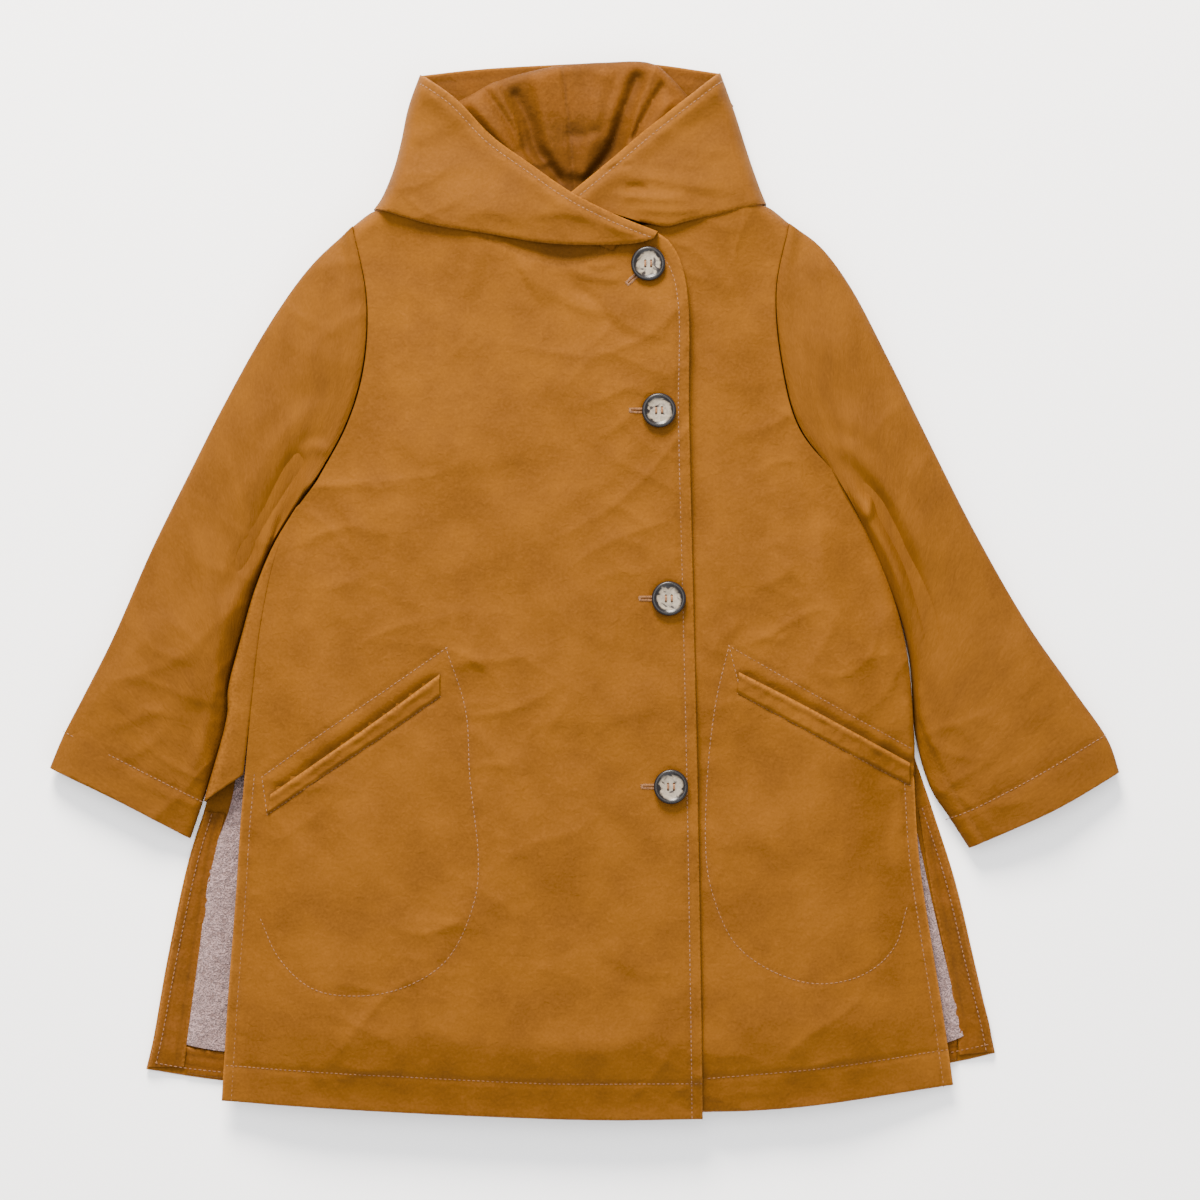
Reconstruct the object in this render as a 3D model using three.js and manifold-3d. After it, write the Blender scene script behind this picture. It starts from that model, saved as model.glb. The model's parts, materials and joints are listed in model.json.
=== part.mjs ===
// Hooded swing coat lying flat on its back, buttoned, seen from above.
// Millimetres. +Z is up from the table, +Y runs from hem to hood, +X is the wearer's left.

import * as THREE from "three";
import Module from "manifold-3d";

// ---------------------------------------------------------------- driving dimensions
const COAT_SPAN = 1000; // cuff to cuff
const COAT_LENGTH = 985; // hem to the top of the hood
const SHELL = 2.4; // outer cloth with its thin wadding
const FACING = 1.6; // outer cloth turned to the inside
const FLEECE = 5.5; // curly pile lining
const LOFT = 12; // air between the back lining and the front lining
const CROWN = 11; // rise of the fronts in the middle of the body
const OVERLAP_STEP = 6; // the right front lies this much higher than the left
const POCKET_DEPTH = 8; // room for a hand inside a pocket
const BUTTON_DIAMETER = 31.8;
const BUTTON_THICKNESS = 4.6;
const BUTTON_LIFT = 2.7; // thread shank showing between cloth and button
const BUTTON_HOLE_RADIUS = 1.1;
const BUTTON_HOLE_SPACING = 5.2;
const BUTTONHOLE_LENGTH = 30;
const BUTTONHOLE_WIDTH = 4.2;
const SHANK_RADIUS = 1.4;
const HEM_DEPTH = 33;
const CUFF_FACING = 45;
const SLEEVE_RINGS = 14;
const SLEEVE_HEIGHT_TOP = 38; // flat sleeve at the armhole
const SLEEVE_HEIGHT_CUFF = 30;
const HOOD_ROLL = 8; // rise of the rolled hood edge
const HOOD_CROWN_HEIGHT = 40;
const MOUTH_GAP = 8; // open slit above each pocket welt
const SEAM_GAP = 1.0; // clearance between pieces sewn side by side
const LAYER_GAP = 0.8; // clearance between pieces that lie on each other
const FOLD_GAP = 3; // clearance between a front and the side strip it hinges on
const STRIP_ROWS = 28;
const STRIP_START = 38; // the side strips start this far above the vents, where they are wide enough

// The pattern below is drawn for a coat of this span and length and stretched to fit.
const PATTERN_SPAN = 1000;
const PATTERN_LENGTH = 985;

// ---------------------------------------------------------------- heights of the layers
const BACK_LINING_Z = SHELL + LAYER_GAP;
const BACK_LINING_TOP = BACK_LINING_Z + FLEECE;
const LEFT_LINING_Z = BACK_LINING_TOP + LOFT;
const LEFT_POCKET_Z = LEFT_LINING_Z + FLEECE + LAYER_GAP;
const LEFT_SHELL_Z = LEFT_POCKET_Z + FACING + POCKET_DEPTH;
const RIGHT_SHELL_Z = LEFT_SHELL_Z + OVERLAP_STEP;
const RIGHT_POCKET_Z = LEFT_POCKET_Z + OVERLAP_STEP;
const RIGHT_LINING_Z = LEFT_LINING_Z + OVERLAP_STEP;
const LEFT_TOP_Z = LEFT_SHELL_Z + SHELL;
const RIGHT_TOP_Z = RIGHT_SHELL_Z + SHELL;

const wasm = await Module();
wasm.setup();

// ---------------------------------------------------------------- pattern helpers
const at = (x, y) =>
  new THREE.Vector2((x * COAT_SPAN) / PATTERN_SPAN, (y * COAT_LENGTH) / PATTERN_LENGTH);
const curve = (...points) => new THREE.SplineCurve(points.map(([x, y]) => at(x, y)));
const mix = (a, b, t) => a + (b - a) * t;
const smooth = (a, b, x) => THREE.MathUtils.smoothstep(x, a, b);

/** The same curve moved sideways, for the piece on the other side of a seam. */
function beside(source, dx, dy = 0) {
  const points = source.points.map((p) => new THREE.Vector2(p.x + dx, p.y + dy));
  return new THREE.SplineCurve(points);
}

/** Four-sided area between two cross curves and two long curves. */
function area(low, high, left, right) {
  return (s, t) => {
    const bottom = low.getPointAt(s);
    const top = high.getPointAt(s);
    const west = left.getPointAt(t);
    const east = right.getPointAt(t);
    const a = low.getPointAt(0);
    const b = low.getPointAt(1);
    const c = high.getPointAt(0);
    const d = high.getPointAt(1);
    const blend = (k) =>
      mix(bottom[k], top[k], t) + mix(west[k], east[k], s) -
      mix(mix(a[k], b[k], s), mix(c[k], d[k], s), t);
    return [blend("x"), blend("y")];
  };
}

/** Closed solid over an area, between a lower and an upper height. */
function slab(shape, low, high, columns, rows, reach = {}) {
  const [s0, s1] = reach.s ?? [0, 1];
  const [t0, t1] = reach.t ?? [0, 1];
  const positions = [];
  const wide = columns + 1;
  const layer = wide * (rows + 1);
  for (const height of [low, high]) {
    for (let j = 0; j <= rows; j++) {
      for (let i = 0; i <= columns; i++) {
        const [x, y] = shape(mix(s0, s1, i / columns), mix(t0, t1, j / rows));
        positions.push(x, y, typeof height === "number" ? height : height(x, y));
      }
    }
  }
  const faces = [];
  const quad = (a, b, c, d) => faces.push(a, b, c, a, c, d);
  for (let j = 0; j < rows; j++) {
    for (let i = 0; i < columns; i++) {
      const k = j * wide + i;
      quad(k + layer, k + 1 + layer, k + wide + 1 + layer, k + wide + layer);
      quad(k, k + wide, k + wide + 1, k + 1);
    }
  }
  for (let i = 0; i < columns; i++) {
    const far = rows * wide + i;
    quad(i, i + 1, i + 1 + layer, i + layer);
    quad(far + 1, far, far + layer, far + 1 + layer);
  }
  for (let j = 0; j < rows; j++) {
    const west = j * wide;
    const east = west + columns;
    quad(west + wide, west, west + layer, west + wide + layer);
    quad(east, east + wide, east + wide + layer, east + layer);
  }
  return finish(positions, faces);
}

/** Flattened tube laid over an area, open at both ends, with a ring at each station. */
function tube(shape, height, inset, wall, stations, around) {
  const positions = [];
  const rings = stations.length - 1;
  for (const depth of [inset, inset + wall]) {
    for (const v of stations) {
      const [ax, ay] = shape(0, v);
      const [bx, by] = shape(1, v);
      const share = depth / Math.hypot(bx - ax, by - ay);
      const half = height(v) / 2;
      for (let j = 0; j < around; j++) {
        const angle = (2 * Math.PI * j) / around;
        const [x, y] = shape(0.5 - (0.5 - share) * Math.cos(angle), v);
        positions.push(x, y, half + (half - depth) * Math.sin(angle));
      }
    }
  }
  const faces = [];
  const layer = (rings + 1) * around;
  const quad = (a, b, c, d) => faces.push(a, b, c, a, c, d);
  for (let j = 0; j < around; j++) {
    const n = (j + 1) % around;
    for (let i = 0; i < rings; i++) {
      const a = i * around;
      const b = a + around;
      quad(a + j, a + n, b + n, b + j);
      quad(layer + a + j, layer + b + j, layer + b + n, layer + a + n);
    }
    const end = rings * around;
    quad(j, layer + j, layer + n, n);
    quad(end + j, end + n, layer + end + n, layer + end + j);
  }
  return finish(positions, faces);
}

/** Geometry with its faces turned outward whichever way the outline ran. */
function finish(positions, faces) {
  let volume = 0;
  const p = (i) => new THREE.Vector3().fromArray(positions, 3 * i);
  for (let i = 0; i < faces.length; i += 3) {
    volume += p(faces[i]).dot(p(faces[i + 1]).cross(p(faces[i + 2])));
  }
  const order = volume < 0 ? faces.slice().reverse() : faces;
  const geometry = new THREE.BufferGeometry();
  geometry.setAttribute("position", new THREE.Float32BufferAttribute(positions, 3));
  geometry.setIndex(order);
  return geometry;
}

/** Upright block over a closed outline. */
function block(points, low, high) {
  const geometry = new THREE.ExtrudeGeometry(new THREE.Shape(points), {
    depth: high - low,
    bevelEnabled: false,
  });
  geometry.translate(0, 0, low);
  return geometry;
}

/** Welds the corners of a geometry so that it is one closed body. */
function welded(geometry) {
  const source = geometry.index ? geometry.toNonIndexed() : geometry;
  const position = source.getAttribute("position");
  const seen = new Map();
  const vertices = [];
  const triangles = [];
  for (let i = 0; i < position.count; i++) {
    const point = [position.getX(i), position.getY(i), position.getZ(i)];
    const key = point.map((value) => Math.round(value * 1e4)).join(",");
    if (!seen.has(key)) {
      seen.set(key, vertices.length / 3);
      vertices.push(...point);
    }
    triangles.push(seen.get(key));
  }
  return { vertices, triangles };
}

function solid(geometry) {
  const { vertices, triangles } = welded(geometry);
  const mesh = new wasm.Mesh({
    numProp: 3,
    vertProperties: new Float32Array(vertices),
    triVerts: new Uint32Array(triangles),
  });
  return new wasm.Manifold(mesh);
}

/** First shape with every other shape cut away from it. */
function cut(geometry, tools) {
  let body = solid(geometry);
  for (const tool of tools) {
    body = body.subtract(solid(tool));
  }
  const mesh = body.getMesh();
  const result = new THREE.BufferGeometry();
  const points = new Float32Array(mesh.vertProperties);
  result.setAttribute("position", new THREE.BufferAttribute(points, 3));
  result.setIndex(Array.from(mesh.triVerts));
  return result;
}

// ---------------------------------------------------------------- seams and edges
const RIGHT_NECK = [-144, 350];
const LEFT_NECK = [118, 350];
const RIGHT_VENT = [-316, -171];
const LEFT_VENT = [307, -171];
const armholeRight = curve([-216, 340], [-202, 271], [-205, 206], [-220, 155], [-249, 101]);
const armholeLeft = curve([191, 343], [178, 280], [184, 206], [200, 150], [241, 101]);
/** Straight run of points, so that a curve through them stays straight. */
const run = (a, b, steps) =>
  Array.from({ length: steps + 1 }, (_, i) => [
    mix(a[0], b[0], i / steps),
    mix(a[1], b[1], i / steps),
  ]);
const foldRight = curve(...run(RIGHT_VENT, RIGHT_NECK, 12));
const foldLeft = curve(...run(LEFT_VENT, LEFT_NECK, 12));
const ventRight = curve([-338, -475], [-328, -325], RIGHT_VENT);
const ventLeft = curve([344, -461], [326, -320], LEFT_VENT);
const flankRight = curve([-353, -194], [-332, -110], [-320, -46], [-288, 43], [-249, 101]);
const sideSeamRight = curve([-318, -175], [-305, -97], [-294, -35], [-272, 50], [-249, 101]);
const flankLeft = curve([309, -175], [307, -140], [298, -46], [271, 43], [241, 101]);
const bandEdge = curve([48, -491], [43, -185], [39, -8], [36, 167], [34, 318]);
const frontEdge = curve([110, -491], [105, -185], [101, -8], [97, 167], [92, 290]);
const leftFrontEdge = curve([56, -488], [52, -185], [50, -8], [47, 167], [46, 300]);

/** Half-way place and half width of the body between the two side folds. */
function bodyAt(y) {
  const fold = (upper, lower, end) =>
    y > lower[1]
      ? mix(lower[0], upper[0], (y - lower[1]) / (upper[1] - lower[1]))
      : mix(lower[0], end, (lower[1] - y) / 300);
  const right = fold(RIGHT_NECK, RIGHT_VENT, -338);
  const left = fold(LEFT_NECK, LEFT_VENT, 342);
  return [(left + right) / 2, (left - right) / 2];
}

/** Rise of the fronts above the height of the side folds. */
function rise(x, y) {
  const px = (x * PATTERN_SPAN) / COAT_SPAN;
  const py = (y * PATTERN_LENGTH) / COAT_LENGTH;
  const [middle, half] = bodyAt(py);
  const u = (px - middle) / half;
  return CROWN * Math.max(0, 1 - u * u) * mix(1, 0.3, smooth(150, 345, py));
}

const over = (z) => (x, y) => z + rise(x, y);

// ---------------------------------------------------------------- finishes
const finishes = {
  shell: { color: 0xb07428, roughness: 0.86 },
  facing: { color: 0xa86d24, roughness: 0.88 },
  fleece: { color: 0xb9aaa5, roughness: 0.97 },
  thread: { color: 0xc08a45, roughness: 0.7 },
  horn: { color: 0x4a3a2c, roughness: 0.3 },
};
const group = new THREE.Group();
group.name = "hooded_coat";

function add(name, geometry, finishName) {
  geometry.computeVertexNormals();
  const material = new THREE.MeshStandardMaterial({ ...finishes[finishName], metalness: 0 });
  const mesh = new THREE.Mesh(geometry, material);
  mesh.name = name;
  group.add(mesh);
}

// ---------------------------------------------------------------- back of the body
const backOutline = [
  at(-150, 350),
  ...armholeRight.getPoints(10),
  ...flankRight.getPoints(8).reverse().slice(1),
  ...[[-370, -250], [-390, -343], [-410, -447], [-337, -458], [107, -473], [345, -441], [384, -432]]
    .map(([x, y]) => at(x, y)),
  ...[[365, -348], [346, -269], [324, -200]].map(([x, y]) => at(x, y)),
  ...flankLeft.getPoints(8),
  ...armholeLeft.getPoints(10).reverse().slice(1),
  at(146, 350),
];
add("back_shell", block(backOutline, 0, SHELL), "shell");

// The lining and the turned edges share the flat back: the fleece stops where they begin.
const liningLow = -441 + HEM_DEPTH;
const backLiningOutline = [
  [-140, 342], [-195, 325], [-196, 206], [-212, 152], [-244, 96], [-276, 30], [-300, -46],
  [-312, -110], [-326, -200], [-345, -300], [-366, liningLow], [350, liningLow - 1],
  [328, -300], [300, -200], [299, -140], [290, -46], [264, 43], [232, 96], [192, 150],
  [175, 206], [170, 280], [178, 328], [136, 342],
].map(([x, y]) => at(x, y));
add("back_lining", block(backLiningOutline, BACK_LINING_Z, BACK_LINING_TOP), "fleece");

const facingTop = BACK_LINING_Z + FACING;
const ventFacingRight = [
  [-330, -200], [-353, -198], [-370, -252], [-390, -343], [-407, liningLow],
  [-369, liningLow], [-348, -300],
].map(([x, y]) => at(x, y));
add("back_vent_facing_right", block(ventFacingRight, BACK_LINING_Z, facingTop), "facing");
const ventFacingLeft = [
  [304, -204], [331, -300], [353, liningLow], [378, liningLow], [365, -352], [346, -273],
  [323, -204],
].map(([x, y]) => at(x, y));
add("back_vent_facing_left", block(ventFacingLeft, BACK_LINING_Z, facingTop), "facing");
const hemFacing = [
  [-407, liningLow - 2], [-410, -446], [-337, -457], [107, -472], [345, -440], [383, -431],
  [379, liningLow - 3],
].map(([x, y]) => at(x, y));
add("back_hem_facing", block(hemFacing, BACK_LINING_Z, facingTop), "facing");

// ---------------------------------------------------------------- sides of the body
const straight = (a, b) => new THREE.SplineCurve([a, b]);
const start = (source) => source.getPointAt(0);
const finishOf = (source) => source.getPointAt(1);

/** Height that falls from the fold line to the outer edge of a side piece. */
function sideFall(shape, inner, outer, columns, rows) {
  const positions = new Map();
  const drop = (s, t) => {
    const [x, y] = shape(s, t);
    positions.set(`${x.toFixed(4)},${y.toFixed(4)}`, mix(outer, inner, Math.sin((s * Math.PI) / 2)));
  };
  for (let j = 0; j <= rows; j++) {
    for (let i = 0; i <= columns; i++) {
      drop(i / columns, j / rows);
    }
  }
  return (offset) => (x, y) => positions.get(`${x.toFixed(4)},${y.toFixed(4)}`) + offset;
}

/** Side piece whose left long edge is the outer one. */
function sidePiece(name, outer, inner, outerZ, innerZ, columns, rows) {
  const low = straight(start(outer), start(inner));
  const high = straight(finishOf(outer), finishOf(inner));
  const shape = area(low, high, outer, inner);
  const fall = sideFall(shape, innerZ, outerZ, columns, rows);
  add(name, slab(shape, fall(-SHELL), fall(0), columns, rows), "shell");
}

const joined = (...parts) => new THREE.SplineCurve(parts.flat());
/** Side strip of a front, from its fold line out to the side seam and the armhole. */
function sideStrip(name, fold, seams, gap, outerZ, innerZ) {
  const edge = seams.flatMap((seam) => seam.getPoints(24)).sort((a, b) => a.y - b.y);
  const low = edge[0].y + STRIP_START;
  const high = edge[edge.length - 1].y - 3;
  const shape = (s, t) => {
    const y = mix(low, high, t);
    const k = Math.max(1, edge.findIndex((p) => p.y >= y));
    const [a, b] = [edge[k - 1], edge[k]];
    const outer = mix(a.x, b.x, (y - a.y) / Math.max(b.y - a.y, 1e-6)) + gap;
    const [from, to] = [fold.getPointAt(0), fold.getPointAt(1)];
    const inner = mix(from.x, to.x, (y - from.y) / (to.y - from.y)) - Math.sign(gap) * FOLD_GAP;
    return [mix(outer, inner, s), y];
  };
  const fall = sideFall(shape, innerZ, outerZ, 2, STRIP_ROWS);
  add(name, slab(shape, fall(-SHELL), fall(0), 2, STRIP_ROWS), "shell");
}

sideStrip(
  "front_side_right", foldRight, [sideSeamRight, armholeRight], SEAM_GAP,
  SLEEVE_HEIGHT_TOP - 2, RIGHT_TOP_Z,
);
sideStrip(
  "front_side_left", foldLeft, [flankLeft, armholeLeft], -SEAM_GAP - 0.6,
  SLEEVE_HEIGHT_TOP - 8, LEFT_TOP_Z,
);
const backSideOuter = curve([-353, -194], [-332, -110], [-320, -46], [-290, 40], [-270, 71]);
const backSideInner = beside(
  curve([-318, -175], [-305, -97], [-294, -35], [-272, 50], [-264, 69]), -SEAM_GAP - 1.2,
);
sidePiece(
  "back_side_right", backSideOuter, backSideInner,
  BACK_LINING_Z + SHELL, SLEEVE_HEIGHT_TOP - 4, 4, 10,
);

// ---------------------------------------------------------------- right front
const hemRight = curve([-338, -475], [-215, -486], [-60, -491], [48, -491]);
const neckRight = curve(RIGHT_NECK, [-79, 322], [-23, 304], [34, 318]);
const sideEdgeRight = joined(ventRight.points, foldRight.points.slice(1));
const rightFront = area(hemRight, neckRight, sideEdgeRight, bandEdge);

/** Pocket on one front: a slanted mouth, a welt below it and a bag behind the cloth. */
const pockets = {
  right: { inner: [-134, -99], outer: [-294, -208], mouthInner: [-134, -77], mouthOuter: [-292, -186] },
  left: { inner: [141, -97], outer: [297, -180], mouthInner: [143, -75], mouthOuter: [297, -158] },
};

function mouthBlock({ inner, outer, mouthInner, mouthOuter }) {
  const up = (point) => {
    const p = at(...point);
    p.y += MOUTH_GAP;
    return p;
  };
  return block([at(...outer), at(...inner), up(mouthInner), up(mouthOuter)], 10, 90);
}

/** Welt: a flat strip between the lower stitch line and the mouth. */
function welt(name, { inner, outer, mouthInner, mouthOuter }, z, sign) {
  const grow = (point, dx, dy) => {
    const p = at(...point);
    return new THREE.Vector2(p.x + dx, p.y + dy);
  };
  const lower = straight(grow(outer, sign * -1, 1), grow(inner, sign, 1));
  const upper = straight(grow(mouthOuter, sign * -1, -0.5), grow(mouthInner, sign, -0.5));
  const shape = area(
    lower, upper,
    straight(start(lower), start(upper)),
    straight(finishOf(lower), finishOf(upper)),
  );
  const a = start(lower);
  const b = finishOf(lower);
  const plane = (x) => {
    const share = (x - a.x) / (b.x - a.x);
    return z + mix(rise(a.x, a.y), rise(b.x, b.y), share);
  };
  add(name, slab(shape, (x) => plane(x), (x) => plane(x) + SHELL, 2, 1), "shell");
}

add(
  "front_right_panel",
  cut(
    slab(rightFront, over(RIGHT_SHELL_Z), over(RIGHT_TOP_Z), 10, 20),
    [mouthBlock(pockets.right)],
  ),
  "shell",
);
welt("pocket_welt_right", pockets.right, RIGHT_SHELL_Z, -1);

// ---------------------------------------------------------------- buttonhole band
const BUTTON_PLACES = [[59, 303], [69, 167], [78, -7], [80, -181]];
const bandInner = beside(bandEdge, SEAM_GAP);
const bandTop = new THREE.SplineCurve([
  finishOf(bandInner), at(52, 320), at(72, 314), finishOf(frontEdge),
]);
const bandHem = straight(start(bandInner), start(frontEdge));
const band = area(bandHem, bandTop, bandInner, frontEdge);
const buttonholes = BUTTON_PLACES.map(([x, y]) => {
  const p = at(x, y);
  const half = BUTTONHOLE_WIDTH / 2;
  const far = p.x - BUTTONHOLE_LENGTH;
  const near = p.x + SHANK_RADIUS + 1;
  const corners = [[far, p.y - half], [near, p.y - half], [near, p.y + half], [far, p.y + half]];
  return block(corners.map(([a, b]) => new THREE.Vector2(a, b)), 20, 90);
});
add(
  "buttonhole_band",
  cut(slab(band, over(RIGHT_SHELL_Z), over(RIGHT_TOP_Z), 3, 20), buttonholes),
  "shell",
);

// ---------------------------------------------------------------- inside of the right front
const rightInside = area(
  curve([-330, -443], [-215, -452], [-60, -457], [28, -457]),
  curve([-141, 340], [-79, 313], [-23, 295], [16, 300]),
  curve([-330, -443], [-322, -325], ...run([-309, -175], [-141, 340], 8)),
  curve([28, -457], [23, -185], [20, -8], [17, 167], [16, 300]),
);
add(
  "front_right_lining",
  slab(rightInside, over(RIGHT_LINING_Z), over(RIGHT_LINING_Z + FLEECE), 8, 16, { s: [0.015, 1] }),
  "fleece",
);
const facingUnder = RIGHT_SHELL_Z - LAYER_GAP - FACING;
add(
  "front_right_hem_facing",
  slab(
    area(
      curve([-336, -473], [-215, -484], [-60, -489], [28, -489]),
      curve([-331, -446], [-215, -455], [-60, -460], [28, -460]),
      curve([-336, -473], [-331, -446]),
      curve([28, -489], [28, -460]),
    ),
    over(facingUnder), over(facingUnder + FACING), 8, 1,
  ),
  "facing",
);

/** Bag of a pocket: a shallow tray hung below the cloth with its rim against it. */
function pocketBag(name, outline, inner, z, top) {
  const tray = slab(area(...outline), over(z), over(top - LAYER_GAP), 6, 6);
  const hollow = slab(area(...inner), over(z + FACING), over(top + 5), 6, 6);
  add(name, cut(tray, [hollow]), "facing");
}
pocketBag(
  "pocket_bag_right",
  [
    curve([-262, -357], [-209, -374], [-150, -362]),
    curve([-290, -166], [-210, -112], [-127, -56]),
    curve([-262, -357], [-297, -300], [-303, -220], [-290, -166]),
    curve([-150, -362], [-104, -300], [-97, -200], [-127, -56]),
  ],
  [
    curve([-258, -352], [-209, -369], [-154, -357]),
    curve([-286, -170], [-210, -118], [-131, -64]),
    curve([-258, -352], [-292, -300], [-298, -220], [-286, -170]),
    curve([-154, -357], [-109, -300], [-102, -200], [-131, -64]),
  ],
  RIGHT_POCKET_Z, RIGHT_SHELL_Z,
);

const frontFacing = area(
  curve([31, -489], [108, -489]),
  curve([19, 300], [90, 288]),
  curve([31, -489], [26, -185], [23, -8], [20, 167], [19, 300]),
  curve([108, -489], [103, -185], [99, -8], [95, 167], [90, 288]),
);
add(
  "front_right_facing",
  cut(slab(frontFacing, over(facingUnder), over(facingUnder + FACING), 3, 20), buttonholes),
  "facing",
);

// ---------------------------------------------------------------- left front
const hemLeft = curve([56, -488], [183, -482], [270, -473], [344, -461]);
const neckLeft = curve([46, 300], [68, 311], [94, 330], LEFT_NECK);
const sideEdgeLeft = joined(ventLeft.points, foldLeft.points.slice(1));
const leftFront = area(hemLeft, neckLeft, leftFrontEdge, sideEdgeLeft);
add(
  "front_left_panel",
  cut(
    slab(leftFront, over(LEFT_SHELL_Z), over(LEFT_TOP_Z), 8, 20),
    [mouthBlock(pockets.left)],
  ),
  "shell",
);
welt("pocket_welt_left", pockets.left, LEFT_SHELL_Z, 1);

const leftInside = area(
  curve([111, -452], [210, -448], [270, -442], [334, -430]),
  curve([96, 316], [102, 325], [107, 333], [113, 340]),
  curve([111, -452], [107, -185], [105, -8], [102, 167], [96, 316]),
  curve([334, -430], [319, -320], ...run([300, -175], [113, 340], 8)),
);
add(
  "front_left_lining",
  slab(leftInside, over(LEFT_LINING_Z), over(LEFT_LINING_Z + FLEECE), 6, 16),
  "fleece",
);
const leftFacingZ = LEFT_SHELL_Z - LAYER_GAP - FACING;
add(
  "front_left_facing",
  slab(
    area(
      curve([58, -486], [109, -485]),
      curve([48, 298], [94, 322]),
      curve([58, -486], [54, -185], [52, -8], [49, 167], [48, 298]),
      curve([109, -485], [105, -185], [103, -8], [100, 167], [94, 322]),
    ),
    over(leftFacingZ), over(leftFacingZ + FACING), 3, 20,
  ),
  "facing",
);
add(
  "front_left_hem_facing",
  slab(
    area(
      curve([112, -484], [200, -479], [270, -471], [342, -459]),
      curve([112, -455], [200, -451], [270, -445], [336, -433]),
      curve([112, -484], [112, -455]),
      curve([342, -459], [336, -433]),
    ),
    over(leftFacingZ), over(leftFacingZ + FACING), 6, 1,
  ),
  "facing",
);
pocketBag(
  "pocket_bag_left",
  [
    curve([160, -348], [214, -362], [268, -346]),
    curve([135, -52], [210, -92], [290, -137]),
    curve([160, -348], [118, -290], [113, -200], [135, -52]),
    curve([268, -346], [302, -290], [304, -210], [290, -137]),
  ],
  [
    curve([164, -343], [214, -357], [264, -341]),
    curve([139, -60], [210, -98], [286, -141]),
    curve([164, -343], [123, -290], [118, -200], [139, -60]),
    curve([264, -341], [297, -290], [299, -210], [286, -141]),
  ],
  LEFT_POCKET_Z, LEFT_SHELL_Z,
);

// ---------------------------------------------------------------- buttons
function button() {
  const r = BUTTON_DIAMETER / 2;
  const h = BUTTON_THICKNESS;
  const profile = [
    [0, 0], [r * 0.72, 0], [r * 0.92, h * 0.25], [r, h * 0.55], [r * 0.97, h * 0.88], [r * 0.88, h],
    [r * 0.78, h * 0.93], [r * 0.7, h * 0.72], [0, h * 0.66],
  ].map(([x, y]) => new THREE.Vector2(x, y));
  const disc = new THREE.LatheGeometry(profile, 32);
  disc.rotateX(Math.PI / 2);
  const holes = [];
  for (const sx of [-0.5, 0.5]) {
    for (const sy of [-0.5, 0.5]) {
      const hole = new THREE.CylinderGeometry(BUTTON_HOLE_RADIUS, BUTTON_HOLE_RADIUS, 3 * h, 12);
      hole.rotateX(Math.PI / 2);
      hole.translate(sx * BUTTON_HOLE_SPACING, sy * BUTTON_HOLE_SPACING, h / 2);
      holes.push(hole);
    }
  }
  return cut(disc, holes);
}

BUTTON_PLACES.forEach(([x, y], index) => {
  const p = at(x, y);
  const foot = LEFT_TOP_Z + rise(p.x, p.y) + 0.4;
  const seat = RIGHT_TOP_Z + rise(p.x, p.y) + BUTTON_LIFT;
  const tall = seat - 0.4 - foot;
  const shank = new THREE.CylinderGeometry(SHANK_RADIUS, SHANK_RADIUS, tall, 12);
  shank.rotateX(Math.PI / 2);
  shank.translate(p.x, p.y, foot + tall / 2);
  add(`button_shank_${index + 1}`, shank, "thread");
  const disc = button();
  disc.translate(p.x, p.y, seat);
  add(`button_${index + 1}`, disc, "horn");
});

// ---------------------------------------------------------------- sleeves
/** One sleeve: shell, pile lining and the turned cloth inside the cuff. */
function sleeve(side, shape) {
  const height = (v) => mix(SLEEVE_HEIGHT_TOP, SLEEVE_HEIGHT_CUFF, v);
  const stations = Array.from({ length: SLEEVE_RINGS + 1 }, (_, i) => i / SLEEVE_RINGS);
  add(`sleeve_shell_${side}`, tube(shape, height, 0, SHELL, stations, 24), "shell");
  const inset = SHELL + 2 * LAYER_GAP;
  const [ax, ay] = shape(0.5, 0);
  const [bx, by] = shape(0.5, 1);
  const cuff = 1 - CUFF_FACING / Math.hypot(bx - ax, by - ay);
  const lined = stations.filter((v) => v > 0.1 && v < cuff - 0.02);
  add(
    `sleeve_lining_${side}`,
    tube(shape, height, inset, FLEECE, [...lined, cuff - 0.004], 24),
    "fleece",
  );
  add(
    `cuff_facing_${side}`,
    tube(shape, height, inset, FACING, [cuff, (cuff + 1) / 2, 0.997], 24),
    "facing",
  );
}

sleeve(
  "right",
  area(
    beside(armholeRight, -SEAM_GAP),
    curve([-499, -165], [-433, -199], [-369, -231]),
    beside(
      curve([-216, 340], [-255, 306], [-297, 252], [-344, 155], [-404, 32], [-460, -83], [-498, -165]),
      -SEAM_GAP,
    ),
    beside(
      curve([-249, 101], [-294, 40], [-326, -46], [-340, -110], [-358, -190], [-368, -231]),
      -SEAM_GAP,
    ),
  ),
);
sleeve(
  "left",
  area(
    beside(armholeLeft, SEAM_GAP),
    curve([500, -167], [442, -201], [362, -240]),
    beside(
      curve([191, 343], [242, 312], [284, 252], [331, 159], [386, 57], [442, -46], [499, -167]),
      SEAM_GAP,
    ),
    beside(
      curve([241, 101], [275, 43], [303, -46], [313, -140], [332, -190], [361, -240]),
      SEAM_GAP,
    ),
  ),
);

// ---------------------------------------------------------------- hood
const NECK_Y = 350;
const hoodBack = [[-197, NECK_Y + 2], [-154, 483], [127, 484], [170, NECK_Y + 2]]
  .map(([x, y]) => at(x, y));
add("hood_back", block(hoodBack, 0, SHELL), "shell");
const hoodLining = [[-180, NECK_Y + 4], [-146, 474], [119, 474], [153, NECK_Y + 4]]
  .map(([x, y]) => at(x, y));
add("hood_back_lining", block(hoodLining, BACK_LINING_Z, BACK_LINING_Z + FACING), "facing");

const crownFloor = BACK_LINING_Z + FACING + LAYER_GAP;

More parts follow.
